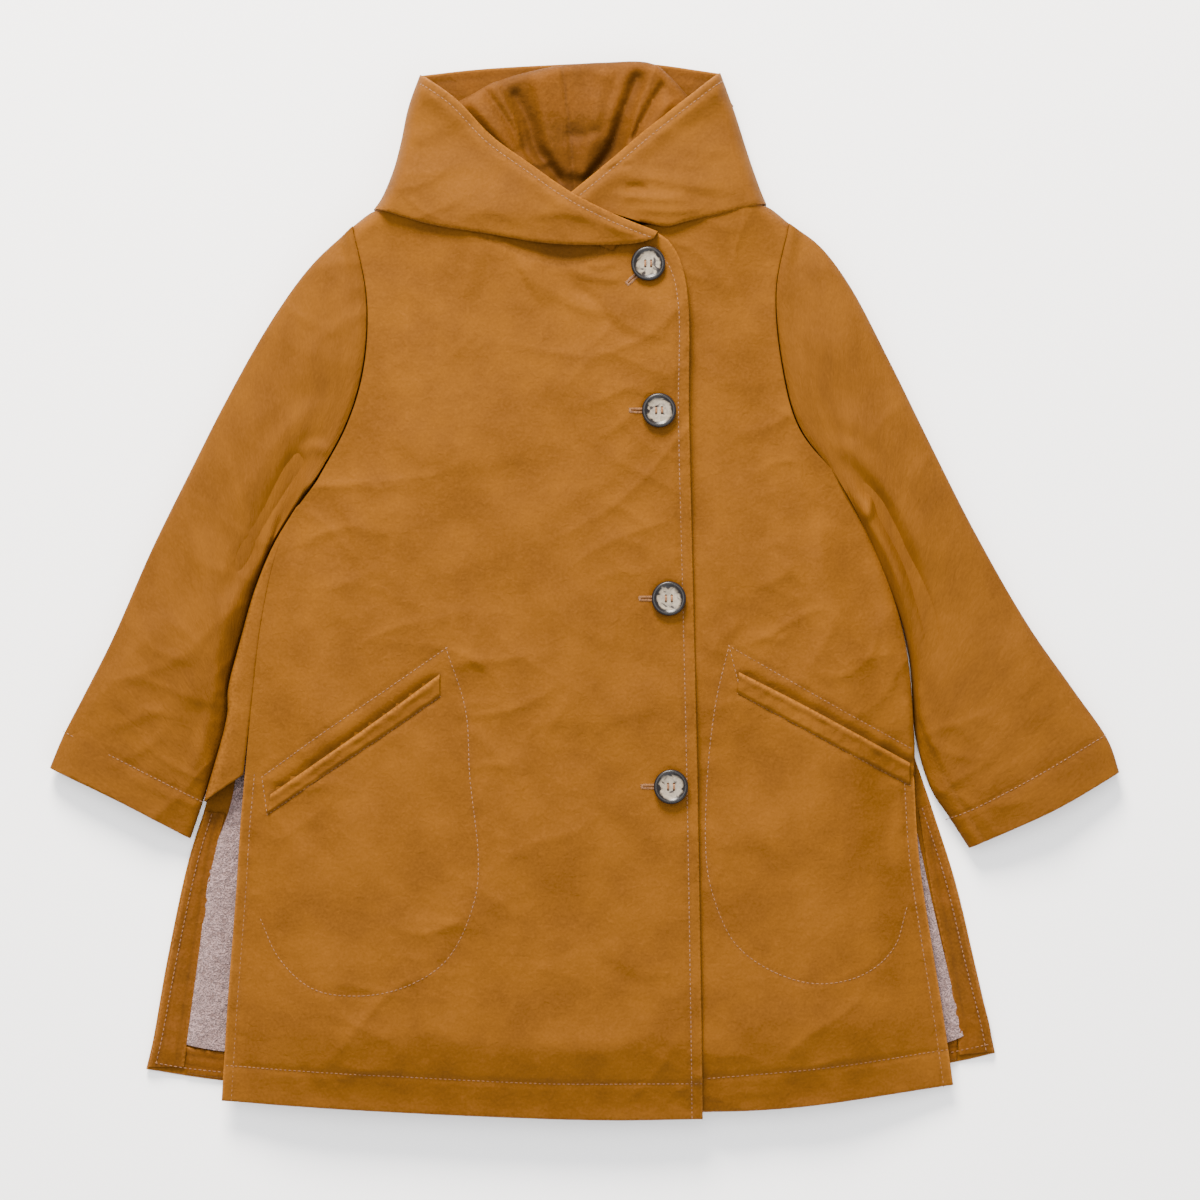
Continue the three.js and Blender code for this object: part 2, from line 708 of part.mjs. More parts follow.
/** Soft heap of hood cloth that rises in the middle of its area. */
function heap(name, outline, height, columns, rows) {
  const shape = area(...outline);
  const peaks = new Map();
  for (let j = 0; j <= rows; j++) {
    for (let i = 0; i <= columns; i++) {
      const [x, y] = shape(i / columns, j / rows);
      const across = Math.sin((Math.PI * i) / columns);
      const along = Math.sin((Math.PI * (0.12 + (0.76 * j) / rows)));
      peaks.set(`${x.toFixed(4)},${y.toFixed(4)}`, height * (0.25 + 0.75 * across * along));
    }
  }
  const top = (x, y) => crownFloor + peaks.get(`${x.toFixed(4)},${y.toFixed(4)}`);
  add(name, slab(shape, crownFloor, top, columns, rows), "shell");
}
heap(
  "hood_crown",
  [
    curve([-30, 392], [-9, 385], [10, 392]),
    curve([-76, 491], [-5, 492], [64, 491]),
    curve([-30, 392], [-50, 430], [-76, 491]),
    curve([10, 392], [34, 430], [64, 491]),
  ],
  HOOD_CROWN_HEIGHT, 8, 8,
);
heap(
  "hood_pleat_right",
  [
    curve([-55, 410], [-34, 394]),
    curve([-98, 473], [-79, 488]),
    curve([-55, 410], [-98, 473]),
    curve([-34, 394], [-54, 430], [-79, 488]),
  ],
  HOOD_CROWN_HEIGHT * 0.75, 4, 6,
);
heap(
  "hood_pleat_left",
  [
    curve([14, 395], [38, 421]),
    curve([68, 489], [86, 473]),
    curve([14, 395], [38, 430], [68, 489]),
    curve([38, 421], [86, 473]),
  ],
  HOOD_CROWN_HEIGHT * 0.75, 4, 6,
);

/** Layer of hood cloth lying over the front it belongs to, its V edge rolled up. */
const wingThick = SHELL + FACING + LAYER_GAP;
function wing(side, outline, z, rollAt, columns, rows) {
  const shape = area(...outline);
  const roll = new Map();
  for (let j = 0; j <= rows; j++) {
    for (let i = 0; i <= columns; i++) {
      const [x, y] = shape(i / columns, j / rows);
      const share = HOOD_ROLL * rollAt(i / columns) * (j / rows) ** 2;
      roll.set(`${x.toFixed(4)},${y.toFixed(4)}`, share);
    }
  }
  const lift = (offset) => (x, y) =>
    z + LAYER_GAP + rise(x, y) + roll.get(`${x.toFixed(4)},${y.toFixed(4)}`) + offset;
  const split = FACING;
  add(`hood_wing_facing_${side}`, slab(shape, lift(0), lift(split), columns, rows), "facing");
  add(
    `hood_wing_${side}`,
    slab(shape, lift(split + LAYER_GAP), lift(wingThick), columns, rows),
    "shell",
  );
}
wing(
  "right",
  [
    curve([-145, 341], [-91, 331], [-36, 322], [9, 321], [60, 326]),
    curve([-111, 446], [-51, 396], [-12, 369], [37, 344], [66, 333]),
    curve([-145, 341], [-111, 446]),
    curve([60, 326], [66, 333]),
  ],
  RIGHT_TOP_Z, (s) => smooth(0, 0.4, s) * (1 - smooth(0.75, 1, s)), 12, 4,
);
wing(
  "left",
  [
    curve([44, 322], [68, 331], [94, 341], [117, 352]),
    curve([-5, 372], [24, 398], [53, 422], [80, 446]),
    curve([44, 322], [18, 340], [-5, 372]),
    curve([117, 352], [80, 446]),
  ],
  LEFT_TOP_Z, (s) => smooth(0.35, 0.65, s) * (1 - smooth(0.65, 1, s)), 8, 4,
);

/** Side of the hood, falling from the top layer to the folded outer edge. */
function hoodCorner(name, outline, innerZ, columns, rows) {
  const shape = area(...outline);
  const fall = sideFall(shape, innerZ, BACK_LINING_Z + wingThick, columns, rows);
  add(name, slab(shape, fall(-wingThick), fall(0), columns, rows), "shell");
}
hoodCorner(
  "hood_corner_right",
  [
    curve([-196, 354], [-149, 352]),
    curve([-154, 482], [-115, 449]),
    curve([-196, 354], [-175, 418], [-154, 482]),
    curve([-149, 352], [-115, 449]),
  ],
  RIGHT_TOP_Z + wingThick, 4, 5,
);
hoodCorner(
  "hood_corner_left",
  [
    curve([170, 354], [121, 354]),
    curve([127, 483], [85, 450]),
    curve([170, 354], [150, 418], [127, 483]),
    curve([121, 354], [85, 450]),
  ],
  LEFT_TOP_Z + wingThick, 4, 5,
);

// ---------------------------------------------------------------- hanger loop
const loopFoot = BACK_LINING_TOP + LAYER_GAP;
const loop = cut(
  block([at(-42, 322), at(38, 322), at(38, 336), at(-42, 336)], loopFoot, loopFoot + 3),
  [block([at(-34, 321), at(30, 321), at(30, 330), at(-34, 330)], loopFoot - 1, loopFoot + 4)],
);
add("hanger_loop", loop, "facing");

export default group;
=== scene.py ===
"""Women's hooded swing coat, buttoned and laid flat on its back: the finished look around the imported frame."""

from __future__ import annotations

import json
import logging
import math
from collections.abc import Callable, Iterable, Sequence
from dataclasses import dataclass, field
from enum import Enum

import bpy
import numpy as np
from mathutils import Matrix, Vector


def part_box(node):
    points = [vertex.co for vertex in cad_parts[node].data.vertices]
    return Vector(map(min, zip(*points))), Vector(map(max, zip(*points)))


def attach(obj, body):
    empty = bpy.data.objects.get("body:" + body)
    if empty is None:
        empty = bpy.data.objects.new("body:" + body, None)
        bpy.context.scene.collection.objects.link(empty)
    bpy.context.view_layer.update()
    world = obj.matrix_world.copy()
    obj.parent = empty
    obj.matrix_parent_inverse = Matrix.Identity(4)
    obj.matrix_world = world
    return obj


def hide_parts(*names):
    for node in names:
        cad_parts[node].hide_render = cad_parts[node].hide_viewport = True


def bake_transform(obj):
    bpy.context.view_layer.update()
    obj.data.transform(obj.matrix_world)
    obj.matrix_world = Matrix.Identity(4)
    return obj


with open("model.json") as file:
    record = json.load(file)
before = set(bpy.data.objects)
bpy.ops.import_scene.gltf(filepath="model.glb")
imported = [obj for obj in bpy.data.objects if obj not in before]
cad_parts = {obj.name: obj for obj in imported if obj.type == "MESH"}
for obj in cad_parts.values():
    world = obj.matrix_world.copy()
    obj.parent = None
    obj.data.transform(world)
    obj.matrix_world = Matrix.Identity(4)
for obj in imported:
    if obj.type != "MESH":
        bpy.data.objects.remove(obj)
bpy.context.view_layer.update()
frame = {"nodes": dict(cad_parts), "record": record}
LOG = logging.getLogger("coat")

MM = 0.001
CLOTH_UV = "cloth"
Line = np.ndarray
Grid = np.ndarray
Height = Callable[[Grid, Grid], Grid]


# ------------------------------------------------------------------ numbers and lines
def smooth(low: float, high: float, value: Grid) -> Grid:
    """Rise smoothly from 0 at low to 1 at high."""
    t = np.clip((np.asarray(value, float) - low) / (high - low), 0.0, 1.0)
    return t * t * (3.0 - 2.0 * t)


def mix(a: Grid | float, b: Grid | float, t: Grid | float) -> Grid | float:
    """Value between a and b."""
    return a + (b - a) * t


def spaced(points: Line, count: int) -> Line:
    """Return count points spread evenly along a line of points."""
    step = np.r_[0.0, np.cumsum(np.linalg.norm(np.diff(points, axis=0), axis=1))]
    where = np.linspace(0.0, step[-1], count)
    return np.stack([np.interp(where, step, points[:, k]) for k in range(points.shape[1])], 1)


def spline(points: Sequence[Sequence[float]], count: int = 80) -> Line:
    """Smooth line through points, evenly spaced.

    Args:
        points: Places in millimetres that the line passes through.
        count: How many points the line gets.

    Returns:
        An array of count points.
    """
    p = np.asarray(points, float)
    if len(p) == 2:
        return spaced(p, count)
    u = np.r_[0.0, np.cumsum(np.sqrt(np.linalg.norm(np.diff(p, axis=0), axis=1)))]
    slope = np.diff(p, axis=0) / np.diff(u)[:, None]
    tangent = np.empty_like(p)
    tangent[0], tangent[-1] = slope[0], slope[-1]
    before, after = np.diff(u)[:-1, None], np.diff(u)[1:, None]
    tangent[1:-1] = (slope[:-1] * after + slope[1:] * before) / (before + after)
    parts = []
    t = np.linspace(0.0, 1.0, 16)[:, None]
    for i in range(len(p) - 1):
        h = u[i + 1] - u[i]
        parts.append(
            (2 * t**3 - 3 * t**2 + 1) * p[i] + (t**3 - 2 * t**2 + t) * h * tangent[i]
            + (3 * t**2 - 2 * t**3) * p[i + 1] + (t**3 - t**2) * h * tangent[i + 1]
        )
    return spaced(np.concatenate(parts), count)


def joined(*parts: Line, count: int = 200) -> Line:
    """Run several lines end to end and space the result evenly."""
    return spaced(np.concatenate(parts), count)


def nearest(x: Grid, y: Grid, line: Line) -> tuple[Grid, Grid, Grid]:
    """Measure how points lie beside a line.

    Args:
        x: Places across, in millimetres.
        y: Places along, in millimetres.
        line: The line's points.

    Returns:
        The distance to the line, the share of its length at the nearest place, and the side: 1 left, -1 right.
    """
    best = np.full(np.shape(x), 1e9)
    along = np.zeros(np.shape(x))
    side = np.ones(np.shape(x))
    count = len(line) - 1
    for i in range(count):
        (ax, ay), (bx, by) = line[i][:2], line[i + 1][:2]
        dx, dy = bx - ax, by - ay
        t = np.clip(((x - ax) * dx + (y - ay) * dy) / max(dx * dx + dy * dy, 1e-9), 0.0, 1.0)
        ex, ey = x - ax - t * dx, y - ay - t * dy
        d = ex * ex + ey * ey
        closer = d < best
        best = np.where(closer, d, best)
        along = np.where(closer, (i + t) / count, along)
        side = np.where(closer, np.sign(dx * ey - dy * ex), side)
    return np.sqrt(best), along, side


class Noise:
    """Seeded gradient noise in the plane."""

    def __init__(self, seed: int) -> None:
        """Draw the gradients and the shuffled table for one seed."""
        draw = np.random.default_rng(seed)
        angle = draw.uniform(0.0, 2.0 * math.pi, 256)
        self.gradient = np.stack([np.cos(angle), np.sin(angle)], 1)
        self.table = draw.permutation(256)

    def at(self, x: Grid, y: Grid) -> Grid:
        """Noise from about -1 to 1 with cells of size 1."""
        ix, iy = np.floor(x).astype(int), np.floor(y).astype(int)
        fx, fy = x - ix, y - iy
        wx, wy = fx**3 * (fx * (fx * 6 - 15) + 10), fy**3 * (fy * (fy * 6 - 15) + 10)

        def corner(dx: int, dy: int) -> Grid:
            """Pull of one cell corner."""
            g = self.gradient[self.table[(self.table[(ix + dx) & 255] + iy + dy) & 255]]
            return g[..., 0] * (fx - dx) + g[..., 1] * (fy - dy)

        low = mix(corner(0, 0), corner(1, 0), wx)
        high = mix(corner(0, 1), corner(1, 1), wx)
        return 1.5 * mix(low, high, wy)

    def layered(self, x: Grid, y: Grid, size: float, octaves: int = 3) -> Grid:
        """Noise with features of a size in millimetres and finer ones on top."""
        total, gain = 0.0, 1.0
        for k in range(octaves):
            total = total + gain * self.at(x * 2**k / size + 17.3 * k, y * 2**k / size - 9.1 * k)
            gain *= 0.5
        return total


@dataclass(frozen=True)
class Crease:
    """A soft ridge or hollow along a line, in millimetres."""

    points: tuple[tuple[float, float], ...]
    height: float
    width: float = 9.0
    lean: float = 1.0
    taper: float = 0.3

    def raised(self, x: Grid, y: Grid) -> Grid:
        """Height that the crease adds at each place."""
        line = spline(self.points, 20)
        reach = 2.6 * self.width * max(self.lean, 1.0 / self.lean, 1.0)
        near = (
            (x > line[:, 0].min() - reach) & (x < line[:, 0].max() + reach)
            & (y > line[:, 1].min() - reach) & (y < line[:, 1].max() + reach)
        )
        added = np.zeros(np.shape(x))
        if not near.any():
            return added
        d, a, side = nearest(x[near], y[near], line)
        width = np.where(side > 0, self.width * self.lean, self.width)
        ends = smooth(0.0, self.taper, a) * smooth(0.0, self.taper, 1.0 - a)
        added[near] = self.height * np.exp(-2.0 * (d / width) ** 2) * ends
        return added


def creased(x: Grid, y: Grid, creases: Iterable[Crease]) -> Grid:
    """Height that all the creases add."""
    return sum((c.raised(x, y) for c in creases), np.zeros(np.shape(x)))


def grooved(x: Grid, y: Grid, lines: Iterable[Line], depth: float, width: float) -> tuple[Grid, Grid]:
    """Press seams into cloth and pucker it beside them.

    Args:
        x: Places across.
        y: Places along.
        lines: The seams.
        depth: Depth of the groove at the seam.
        width: Half width of the groove.

    Returns:
        The height that the seams add, and a mask that is 1 on a seam.
    """
    height, mask = np.zeros(np.shape(x)), np.zeros(np.shape(x))
    for k, line in enumerate(lines):
        reach = 24.0
        near = (
            (x > line[:, 0].min() - reach) & (x < line[:, 0].max() + reach)
            & (y > line[:, 1].min() - reach) & (y < line[:, 1].max() + reach)
        )
        if not near.any():
            continue
        d, a, _ = nearest(x[near], y[near], line)
        length = np.linalg.norm(np.diff(line, axis=0), axis=1).sum()
        ripple = PUCKER.at(a * length / 13.0 + 31.0 * k, d / 22.0 + 5.0)
        height[near] += -depth * np.exp(-((d / width) ** 2)) + 0.75 * ripple * np.exp(-((d / 9.0) ** 2))
        mask[near] = np.maximum(mask[near], np.exp(-((d / (0.8 * width)) ** 2)))
    return height, mask


DRAPE = Noise(11)
PUCKER = Noise(23)
CRINKLE = Noise(37)
CURL = Noise(53)


# ------------------------------------------------------------------ pattern of the coat, in millimetres
VENT_RIGHT = spline([(-338, -475), (-332, -380), (-325, -287), (-320, -213), (-316, -171)])
SEAM_RIGHT = spline([(-316, -171), (-309, -101), (-300, -27), (-288, 29), (-274, 66), (-249, 101)])
ARMHOLE_RIGHT = spline([(-249, 101), (-220, 155), (-205, 206), (-202, 271), (-216, 340)])
FLANK_RIGHT = spline([(-356, -203), (-331, -116), (-332, -92), (-320, -46), (-306, 1), (-288, 43), (-249, 101)])
VENT_LEFT = spline([(344, -461), (335, -399), (323, -325), (312, -250), (307, -173)])
FLANK_LEFT = spline([(307, -173), (307, -140), (298, -46), (270, 43), (241, 101)])
ARMHOLE_LEFT = spline([(241, 101), (200, 150), (184, 206), (178, 280), (191, 343)])
HEM = spline([(-338, -475), (-172, -485), (14, -492), (110, -489), (183, -482), (344, -461)], 120)
HEM_RIGHT = spline([(-338, -475), (-172, -485), (14, -492), (110, -491)])
HEM_LEFT = spline([(48, -488), (110, -485), (183, -482), (344, -461)])
TOP_RIGHT = spline([(-216, 340), (-198, 353), (-150, 355), (-100, 345), (-50, 335), (0, 332), (45, 333), (66, 333)])
TOP_LEFT = spline([(46, 338), (80, 344), (130, 355), (170, 358), (191, 343)])
FRONT_EDGE = spline(
    [(110, -491), (105, -185), (101, -8), (97, 167), (96, 271), (89, 306), (78, 325), (66, 333)], 120
)
UNDER_EDGE = spline([(48, -488), (50, -185), (50, -8), (47, 167), (44, 300), (46, 338)])
NECK_SEAM = spline([(-118, 341), (-79, 322), (-50, 309), (-23, 303), (6, 308), (33, 322), (52, 330)])
SIDE_RIGHT = joined(VENT_RIGHT, SEAM_RIGHT, ARMHOLE_RIGHT, count=160)
SIDE_LEFT = joined(VENT_LEFT, FLANK_LEFT, ARMHOLE_LEFT, count=160)
SHOULDERS = (spline([(-222, 337), (-197, 356)], 6), spline([(196, 340), (170, 361)], 6))

HEM_STITCH_RIGHT = spline([(-333, -442), (-180, -450), (-32, -457), (108, -457)])
HEM_STITCH_LEFT = spline([(110, -453), (214, -444), (338, -428)])
EDGE_STITCH = spline([(100, -489), (95, -185), (91, -8), (87, 167), (87, 265), (80, 298), (66, 318)], 120)
VENT_STITCH_RIGHT = spline([(-329, -474), (-323, -380), (-316, -287), (-311, -213), (-307, -171)])
VENT_STITCH_LEFT = spline([(335, -462), (326, -399), (314, -325), (303, -250), (298, -176)])

SLEEVE_OUTER_RIGHT = spline(
    [(-216, 340), (-255, 303), (-292, 252), (-334, 178), (-367, 113), (-404, 38), (-441, -46),
     (-469, -101), (-486, -134), (-499, -165)], 120
)
SLEEVE_INNER_RIGHT = spline(
    [(-252, 100), (-290.5, 42), (-307.5, 0), (-321, -46), (-332.6, -92), (-334, -118), (-355, -192), (-368, -231)],
    120,
)
CUFF_RIGHT = spline([(-499, -165), (-432, -197), (-368, -231)])
SLEEVE_OUTER_LEFT = spline(
    [(191, 343), (219, 322), (247, 285), (284, 215), (321, 140), (363, 57), (414, -32), (456, -92),
     (489, -140), (499, -169)], 120
)
SLEEVE_INNER_LEFT = spline(
    [(244, 100), (273, 43), (301, -46), (310, -140), (324, -186), (341, -212), (359, -240)], 120
)
CUFF_LEFT = spline([(499, -169), (442, -202), (359, -240)])


class Side(Enum):
    """The wearer's side."""

    RIGHT = "right"
    LEFT = "left"

    @property
    def front(self) -> str:
        """Body of the front on this side."""
        return f"front_{self.value}"


JOINTS = {j["name"]: j for j in frame["record"]["behaviour"]["joints"]}


def hinge_span(side: Side, before: float, after: float) -> tuple[tuple[float, ...], tuple[float, ...]]:
    """Places before and after a front's hinge, across it."""
    joint = JOINTS[f"front_{side.value}_open"]
    x, y, _ = joint["pos_m"]
    ax, ay, _ = joint["axis"]
    nx, ny = (ay, -ax) if side is Side.LEFT else (-ay, ax)
    if (nx > 0) == (x > 0):
        nx, ny = -nx, -ny
    return (x - before * nx, y - before * ny, 0.03), (x + after * nx, y + after * ny, 0.03)


# ------------------------------------------------------------------ meshes
def stations(cells: int, length: float, fine: Sequence[float] = (0.4, 1.1, 2.2, 3.8)) -> Grid:
    """Shares of a length, close together near both ends.

    Args:
        cells: Number of cells.
        length: Length in millimetres.
        fine: Distances from each end of the close stations.

    Returns:
        cells + 1 values from 0 to 1.
    """
    middle = np.linspace(fine[-1], length - fine[-1], cells + 1 - 2 * len(fine))
    low = np.r_[0.0, fine[:-1]]
    return np.r_[low, middle, length - low[::-1]] / length


def patch(low: Line, high: Line, left: Line, right: Line, s: Grid, t: Grid) -> tuple[Grid, Grid]:
    """Fill four lines with a grid.

    Args:
        low: Line from the low left corner to the low right one.
        high: Line from the high left corner to the high right one.
        left: Line up the left side.
        right: Line up the right side.
        s: Shares across.
        t: Shares up.

    Returns:
        Places across and up, one row for each t.
    """
    def at(line: Line, share: Grid) -> Line:
        """Places on an evenly spaced line."""
        where = np.linspace(0.0, 1.0, len(line))
        return np.stack([np.interp(share, where, line[:, k]) for k in range(2)], -1)

    a, b, c, d = low[0], low[-1], high[0], high[-1]
    bottom, top = at(low, s)[None], at(high, s)[None]
    west, east = at(left, t)[:, None], at(right, t)[:, None]
    ss, tt = s[None, :, None], t[:, None, None]
    grid = mix(bottom, top, tt) + mix(west, east, ss) - mix(mix(a, b, ss), mix(c, d, ss), tt)
    return grid[..., 0], grid[..., 1]


def stack(x: Grid, y: Grid, z: Grid) -> Grid:
    """Points in space from three grids."""
    return np.stack([x, y, np.broadcast_to(z, np.shape(x))], -1)


def border(rows: int, cols: int) -> np.ndarray:
    """Indices round the rim of a grid of points, anticlockwise from the first."""
    low = np.arange(cols)
    right = np.arange(1, rows) * cols + cols - 1
    high = (rows - 1) * cols + np.arange(cols - 2, -1, -1)
    left = np.arange(rows - 2, 0, -1) * cols
    return np.concatenate([low, right, high, left])


def mesh_object(name: str, points: Grid, faces: list, uv: Grid, marks: dict[str, Grid]) -> bpy.types.Object:
    """Make an object from points in millimetres.

    Args:
        name: Name of the piece.
        points: Points, one a row.
        faces: Corner indices of each face.
        uv: Place of each point on the flat cloth, in metres.
        marks: Values for each point, by name.

    Returns:
        The object, at the origin, unturned and unscaled.
    """
    mesh = bpy.data.meshes.new(name)
    mesh.from_pydata((points * MM).tolist(), [], faces)
    mesh.polygons.foreach_set("use_smooth", np.ones(len(mesh.polygons), bool))
    layer = mesh.uv_layers.new(name=CLOTH_UV)
    corner = np.empty(len(mesh.loops), np.int32)
    mesh.loops.foreach_get("vertex_index", corner)
    layer.data.foreach_set("uv", uv[corner].astype(np.float32).ravel())
    for key, value in marks.items():
        attribute = mesh.attributes.new(key, "FLOAT", "POINT")
        attribute.data.foreach_set("value", np.asarray(value, np.float32).ravel())
    mesh.update()
    piece = bpy.data.objects.new(name, mesh)
    bpy.context.scene.collection.objects.link(piece)
    return piece


def sheet_object(
    name: str, fine: Grid, other: Grid, coarse: int = 4, flat: Grid | None = None,
    marks: dict[str, Grid] | None = None, close: bool = False,
) -> bpy.types.Object:
    """Make a closed piece of cloth from its seen face and its hidden face.

    Args:
        name: Name of the piece.
        fine: Grid of points of the seen face.
        other: Grid of points of the hidden face.
        coarse: The hidden face keeps one row and column in so many.
        flat: Place of each point on the flat cloth in millimetres. Left out, it is the place across and along.
        marks: Values for each point of the seen face, by name.
        close: Whether the first and last columns meet, as round a tube.

    Returns:
        The object.
    """
    rows, cols = fine.shape[:2]
    flat = fine[..., :2] if flat is None else flat
    marks = marks or {}
    back = other[::coarse, ::coarse]
    brows, bcols = back.shape[:2]
    count = rows * cols
    points = np.concatenate([fine.reshape(-1, 3), back.reshape(-1, 3)])
    uv = np.concatenate([flat.reshape(-1, 2), flat[::coarse, ::coarse].reshape(-1, 2)]) * MM

    def quads(r: int, c: int, offset: int) -> np.ndarray:
        """Faces of a grid."""
        k = (np.arange(r - 1)[:, None] * c + np.arange(c - 1)[None]).ravel() + offset
        return np.stack([k, k + 1, k + c + 1, k + c], 1)

    faces = quads(rows, cols, 0).tolist() + quads(brows, bcols, count)[:, ::-1].tolist()
    rim, under = border(rows, cols), border(brows, bcols) + count
    if close:
        welds = {}
        for j in range(rows):
            welds[j * cols + cols - 1] = j * cols
        for j in range(brows):
            welds[count + j * bcols + bcols - 1] = count + j * bcols
        faces = [[welds.get(v, v) for v in f] for f in faces]
    for i in range(len(under)):
        b0, b1 = int(under[i]), int(under[(i + 1) % len(under)])
        if close and ((b0 - count) % bcols == (b1 - count) % bcols):
            continue
        edge = [int(rim[(i * coarse + k) % len(rim)]) for k in range(coarse + 1)]
        half = coarse // 2
        wall = [[b0, edge[k + 1], edge[k]] for k in range(half)]
        wall.append([b0, b1, edge[half]])
        wall += [[b1, edge[k + 1], edge[k]] for k in range(half, coarse)]
        if close:
            wall = [[welds.get(v, v) for v in f] for f in wall]
        faces += wall
    values = {
        key: np.concatenate([value.ravel(), value[::coarse, ::coarse].ravel()]) for key, value in marks.items()
    }
    # The seen face looks away from the hidden one.
    j, i = rows // 2, cols // 2
    across = fine[j, min(i + 2, cols - 1)] - fine[j, i]
    along = fine[min(j + 2, rows - 1), i] - fine[j, i]
    if np.dot(np.cross(across, along), fine[j, i] - other[j, i]) < 0:
        faces = [f[::-1] for f in faces]
    if close:
        used = np.zeros(len(points), bool)
        used[np.unique(np.concatenate([np.ravel(f) for f in faces]))] = True
        new = np.cumsum(used) - 1
        faces = [[int(new[v]) for v in f] for f in faces]
        points, uv = points[used], uv[used]
        values = {k: v[used] for k, v in values.items()}
    return mesh_object(name, points, faces, uv, values)


def rounded(d: Grid, radius: float, drop: float) -> Grid:
    """How far a rounded edge falls at a distance from the edge."""
    t = np.clip(1.0 - d / radius, 0.0, 1.0)
    return -drop * (1.0 - np.sqrt(np.clip(1.0 - t * t, 0.0, 1.0)))


def normals(grid: Grid) -> Grid:
    """Unit normals of a grid of points."""
    n = np.cross(np.gradient(grid, axis=1), np.gradient(grid, axis=0))
    return n / np.maximum(np.linalg.norm(n, axis=-1, keepdims=True), 1e-9)


# ------------------------------------------------------------------ heights of the lying coat
def from_buttons(x: Grid, y: Grid) -> Grid:
    """Distance to the middle of the nearest button, in millimetres."""
    away = np.full(np.shape(x), np.inf)
    for number in range(1, 5):
        lo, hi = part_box(f"button_{number}")
        away = np.minimum(away, np.hypot(x - (lo[0] + hi[0]) / 2 / MM, y - (lo[1] + hi[1]) / 2 / MM))
    return away


@dataclass(frozen=True)
class LyingBody:
    """Heights of the layers, high in the middle and low at the vents and the hem, in millimetres."""

    right_high: float = 45.0
    right_low: float = 24.5
    left_high: float = 39.0
    left_low: float = 18.6
    shell: float = 2.4
    crown: float = 11.0
    slope: float = 105.0
    hem_slope: float = 75.0

    def loft(self, x: Grid, y: Grid) -> Grid:
        """Share of the full height, from 0 at a vent to 1 in the middle."""
        edge = mix(0.04, 0.5, smooth(-215, -110, y)) + 0.2 * smooth(40, 150, y) - 0.1 * smooth(230, 340, y)
        near = np.minimum(nearest(x, y, SIDE_RIGHT)[0], nearest(x, y, SIDE_LEFT)[0])
        hem = nearest(x, y, HEM)[0]
        share = mix(edge, 1.0, np.sqrt(smooth(-20, self.slope, near)) * smooth(-60, 25, near))
        share = mix(edge, share, smooth(0, 60, near))
        return share * mix(0.38, 1.0, smooth(0, self.hem_slope, hem))

    def rise(self, x: Grid, y: Grid) -> Grid:
        """Crown of the fronts over the middle of the body."""
        right = np.interp(y, [-480, -171, 350], [-338, -316, -144])
        left = np.interp(y, [-480, -171, 350], [342, 307, 118])
        u = (x - (left + right) / 2) / ((left - right) / 2)
        return self.crown * np.maximum(0.0, 1.0 - u * u) * mix(1.0, 0.3, smooth(150, 345, y))

    def folds(self, x: Grid, y: Grid) -> Grid:
        """Soft folds and crumples of the thinly wadded cloth."""
        calm = mix(0.35, 1.0, smooth(0, 45, np.minimum(nearest(x, y, HEM)[0], 60)))
        calm = calm * (1.0 - 0.85 * np.exp(-((from_buttons(x, y) / 24.0) ** 2)))
        long = DRAPE.layered(x * 1.5 + 0.4 * y, y * 0.55, 150, 2)
        slant = DRAPE.at((0.82 * x + 0.57 * y) / 190, (0.82 * y - 0.57 * x) / 70)
        other = DRAPE.at((0.9 * x - 0.44 * y) / 170 + 9, (0.9 * y + 0.44 * x) / 58 + 4)
        patchy = smooth(-0.1, 0.6, CRINKLE.at(x / 130 + 3, y / 130 - 8))
        sharp = 1.0 - np.abs(DRAPE.at((x + 0.9 * y) / 150 + 30, (y - 0.7 * x) / 66))
        sharper = 1.0 - np.abs(CRINKLE.at((x - 0.8 * y) / 120 - 12, (y + 0.6 * x) / 48))
        fine = CRINKLE.layered(x, y, 26, 2)
        return calm * (
            3.0 * long + 1.5 * slant + 1.2 * other + patchy * (1.9 * sharp**6 + 1.3 * sharper**6) + 0.34 * fine
        )

    def right(self, x: Grid, y: Grid) -> Grid:
        """Outer surface of the right front, before seams."""
        p = self.loft(x, y)
        return mix(self.right_low, self.right_high, p) + self.rise(x, y) * p

    def left(self, x: Grid, y: Grid) -> Grid:
        """Outer surface of the left front, before seams."""
        p = self.loft(x, y)
        return mix(self.left_low, self.left_high, p) + self.rise(x, y) * p


BODY = LyingBody()


@dataclass(frozen=True)
class PocketPattern:
    """Lines of one slanted welt pocket and its stitched bag."""

    side: Side
    upper: Line
    mouth: Line
    lower: Line
    bag: Line


POCKETS = {
    Side.RIGHT: PocketPattern(
        Side.RIGHT,
        spline([(-300, -173), (-240, -130), (-180, -89), (-128, -53)]),
        spline([(-292, -189), (-250, -160), (-190, -118), (-134, -77)]),
        spline([(-295, -208), (-240, -170), (-180, -130), (-134, -98)]),
        spline([(-128, -53), (-110, -110), (-106, -172), (-98, -250), (-102, -288), (-127, -341), (-165, -366),
                (-209, -375), (-253, -368), (-285, -339), (-301, -306)]),
    ),
    Side.LEFT: PocketPattern(
        Side.LEFT,
        spline([(134, -51), (190, -83), (250, -117), (303, -146)]),
        spline([(143, -75), (200, -104), (250, -131), (303, -160)]),
        spline([(142, -95), (200, -126), (250, -153), (303, -181)]),
        spline([(134, -51), (122, -102), (114, -172), (113, -250), (120, -285), (139, -326), (171, -351), (214, -364),
                (259, -356), (288, -332), (300, -296)]),
    ),
}

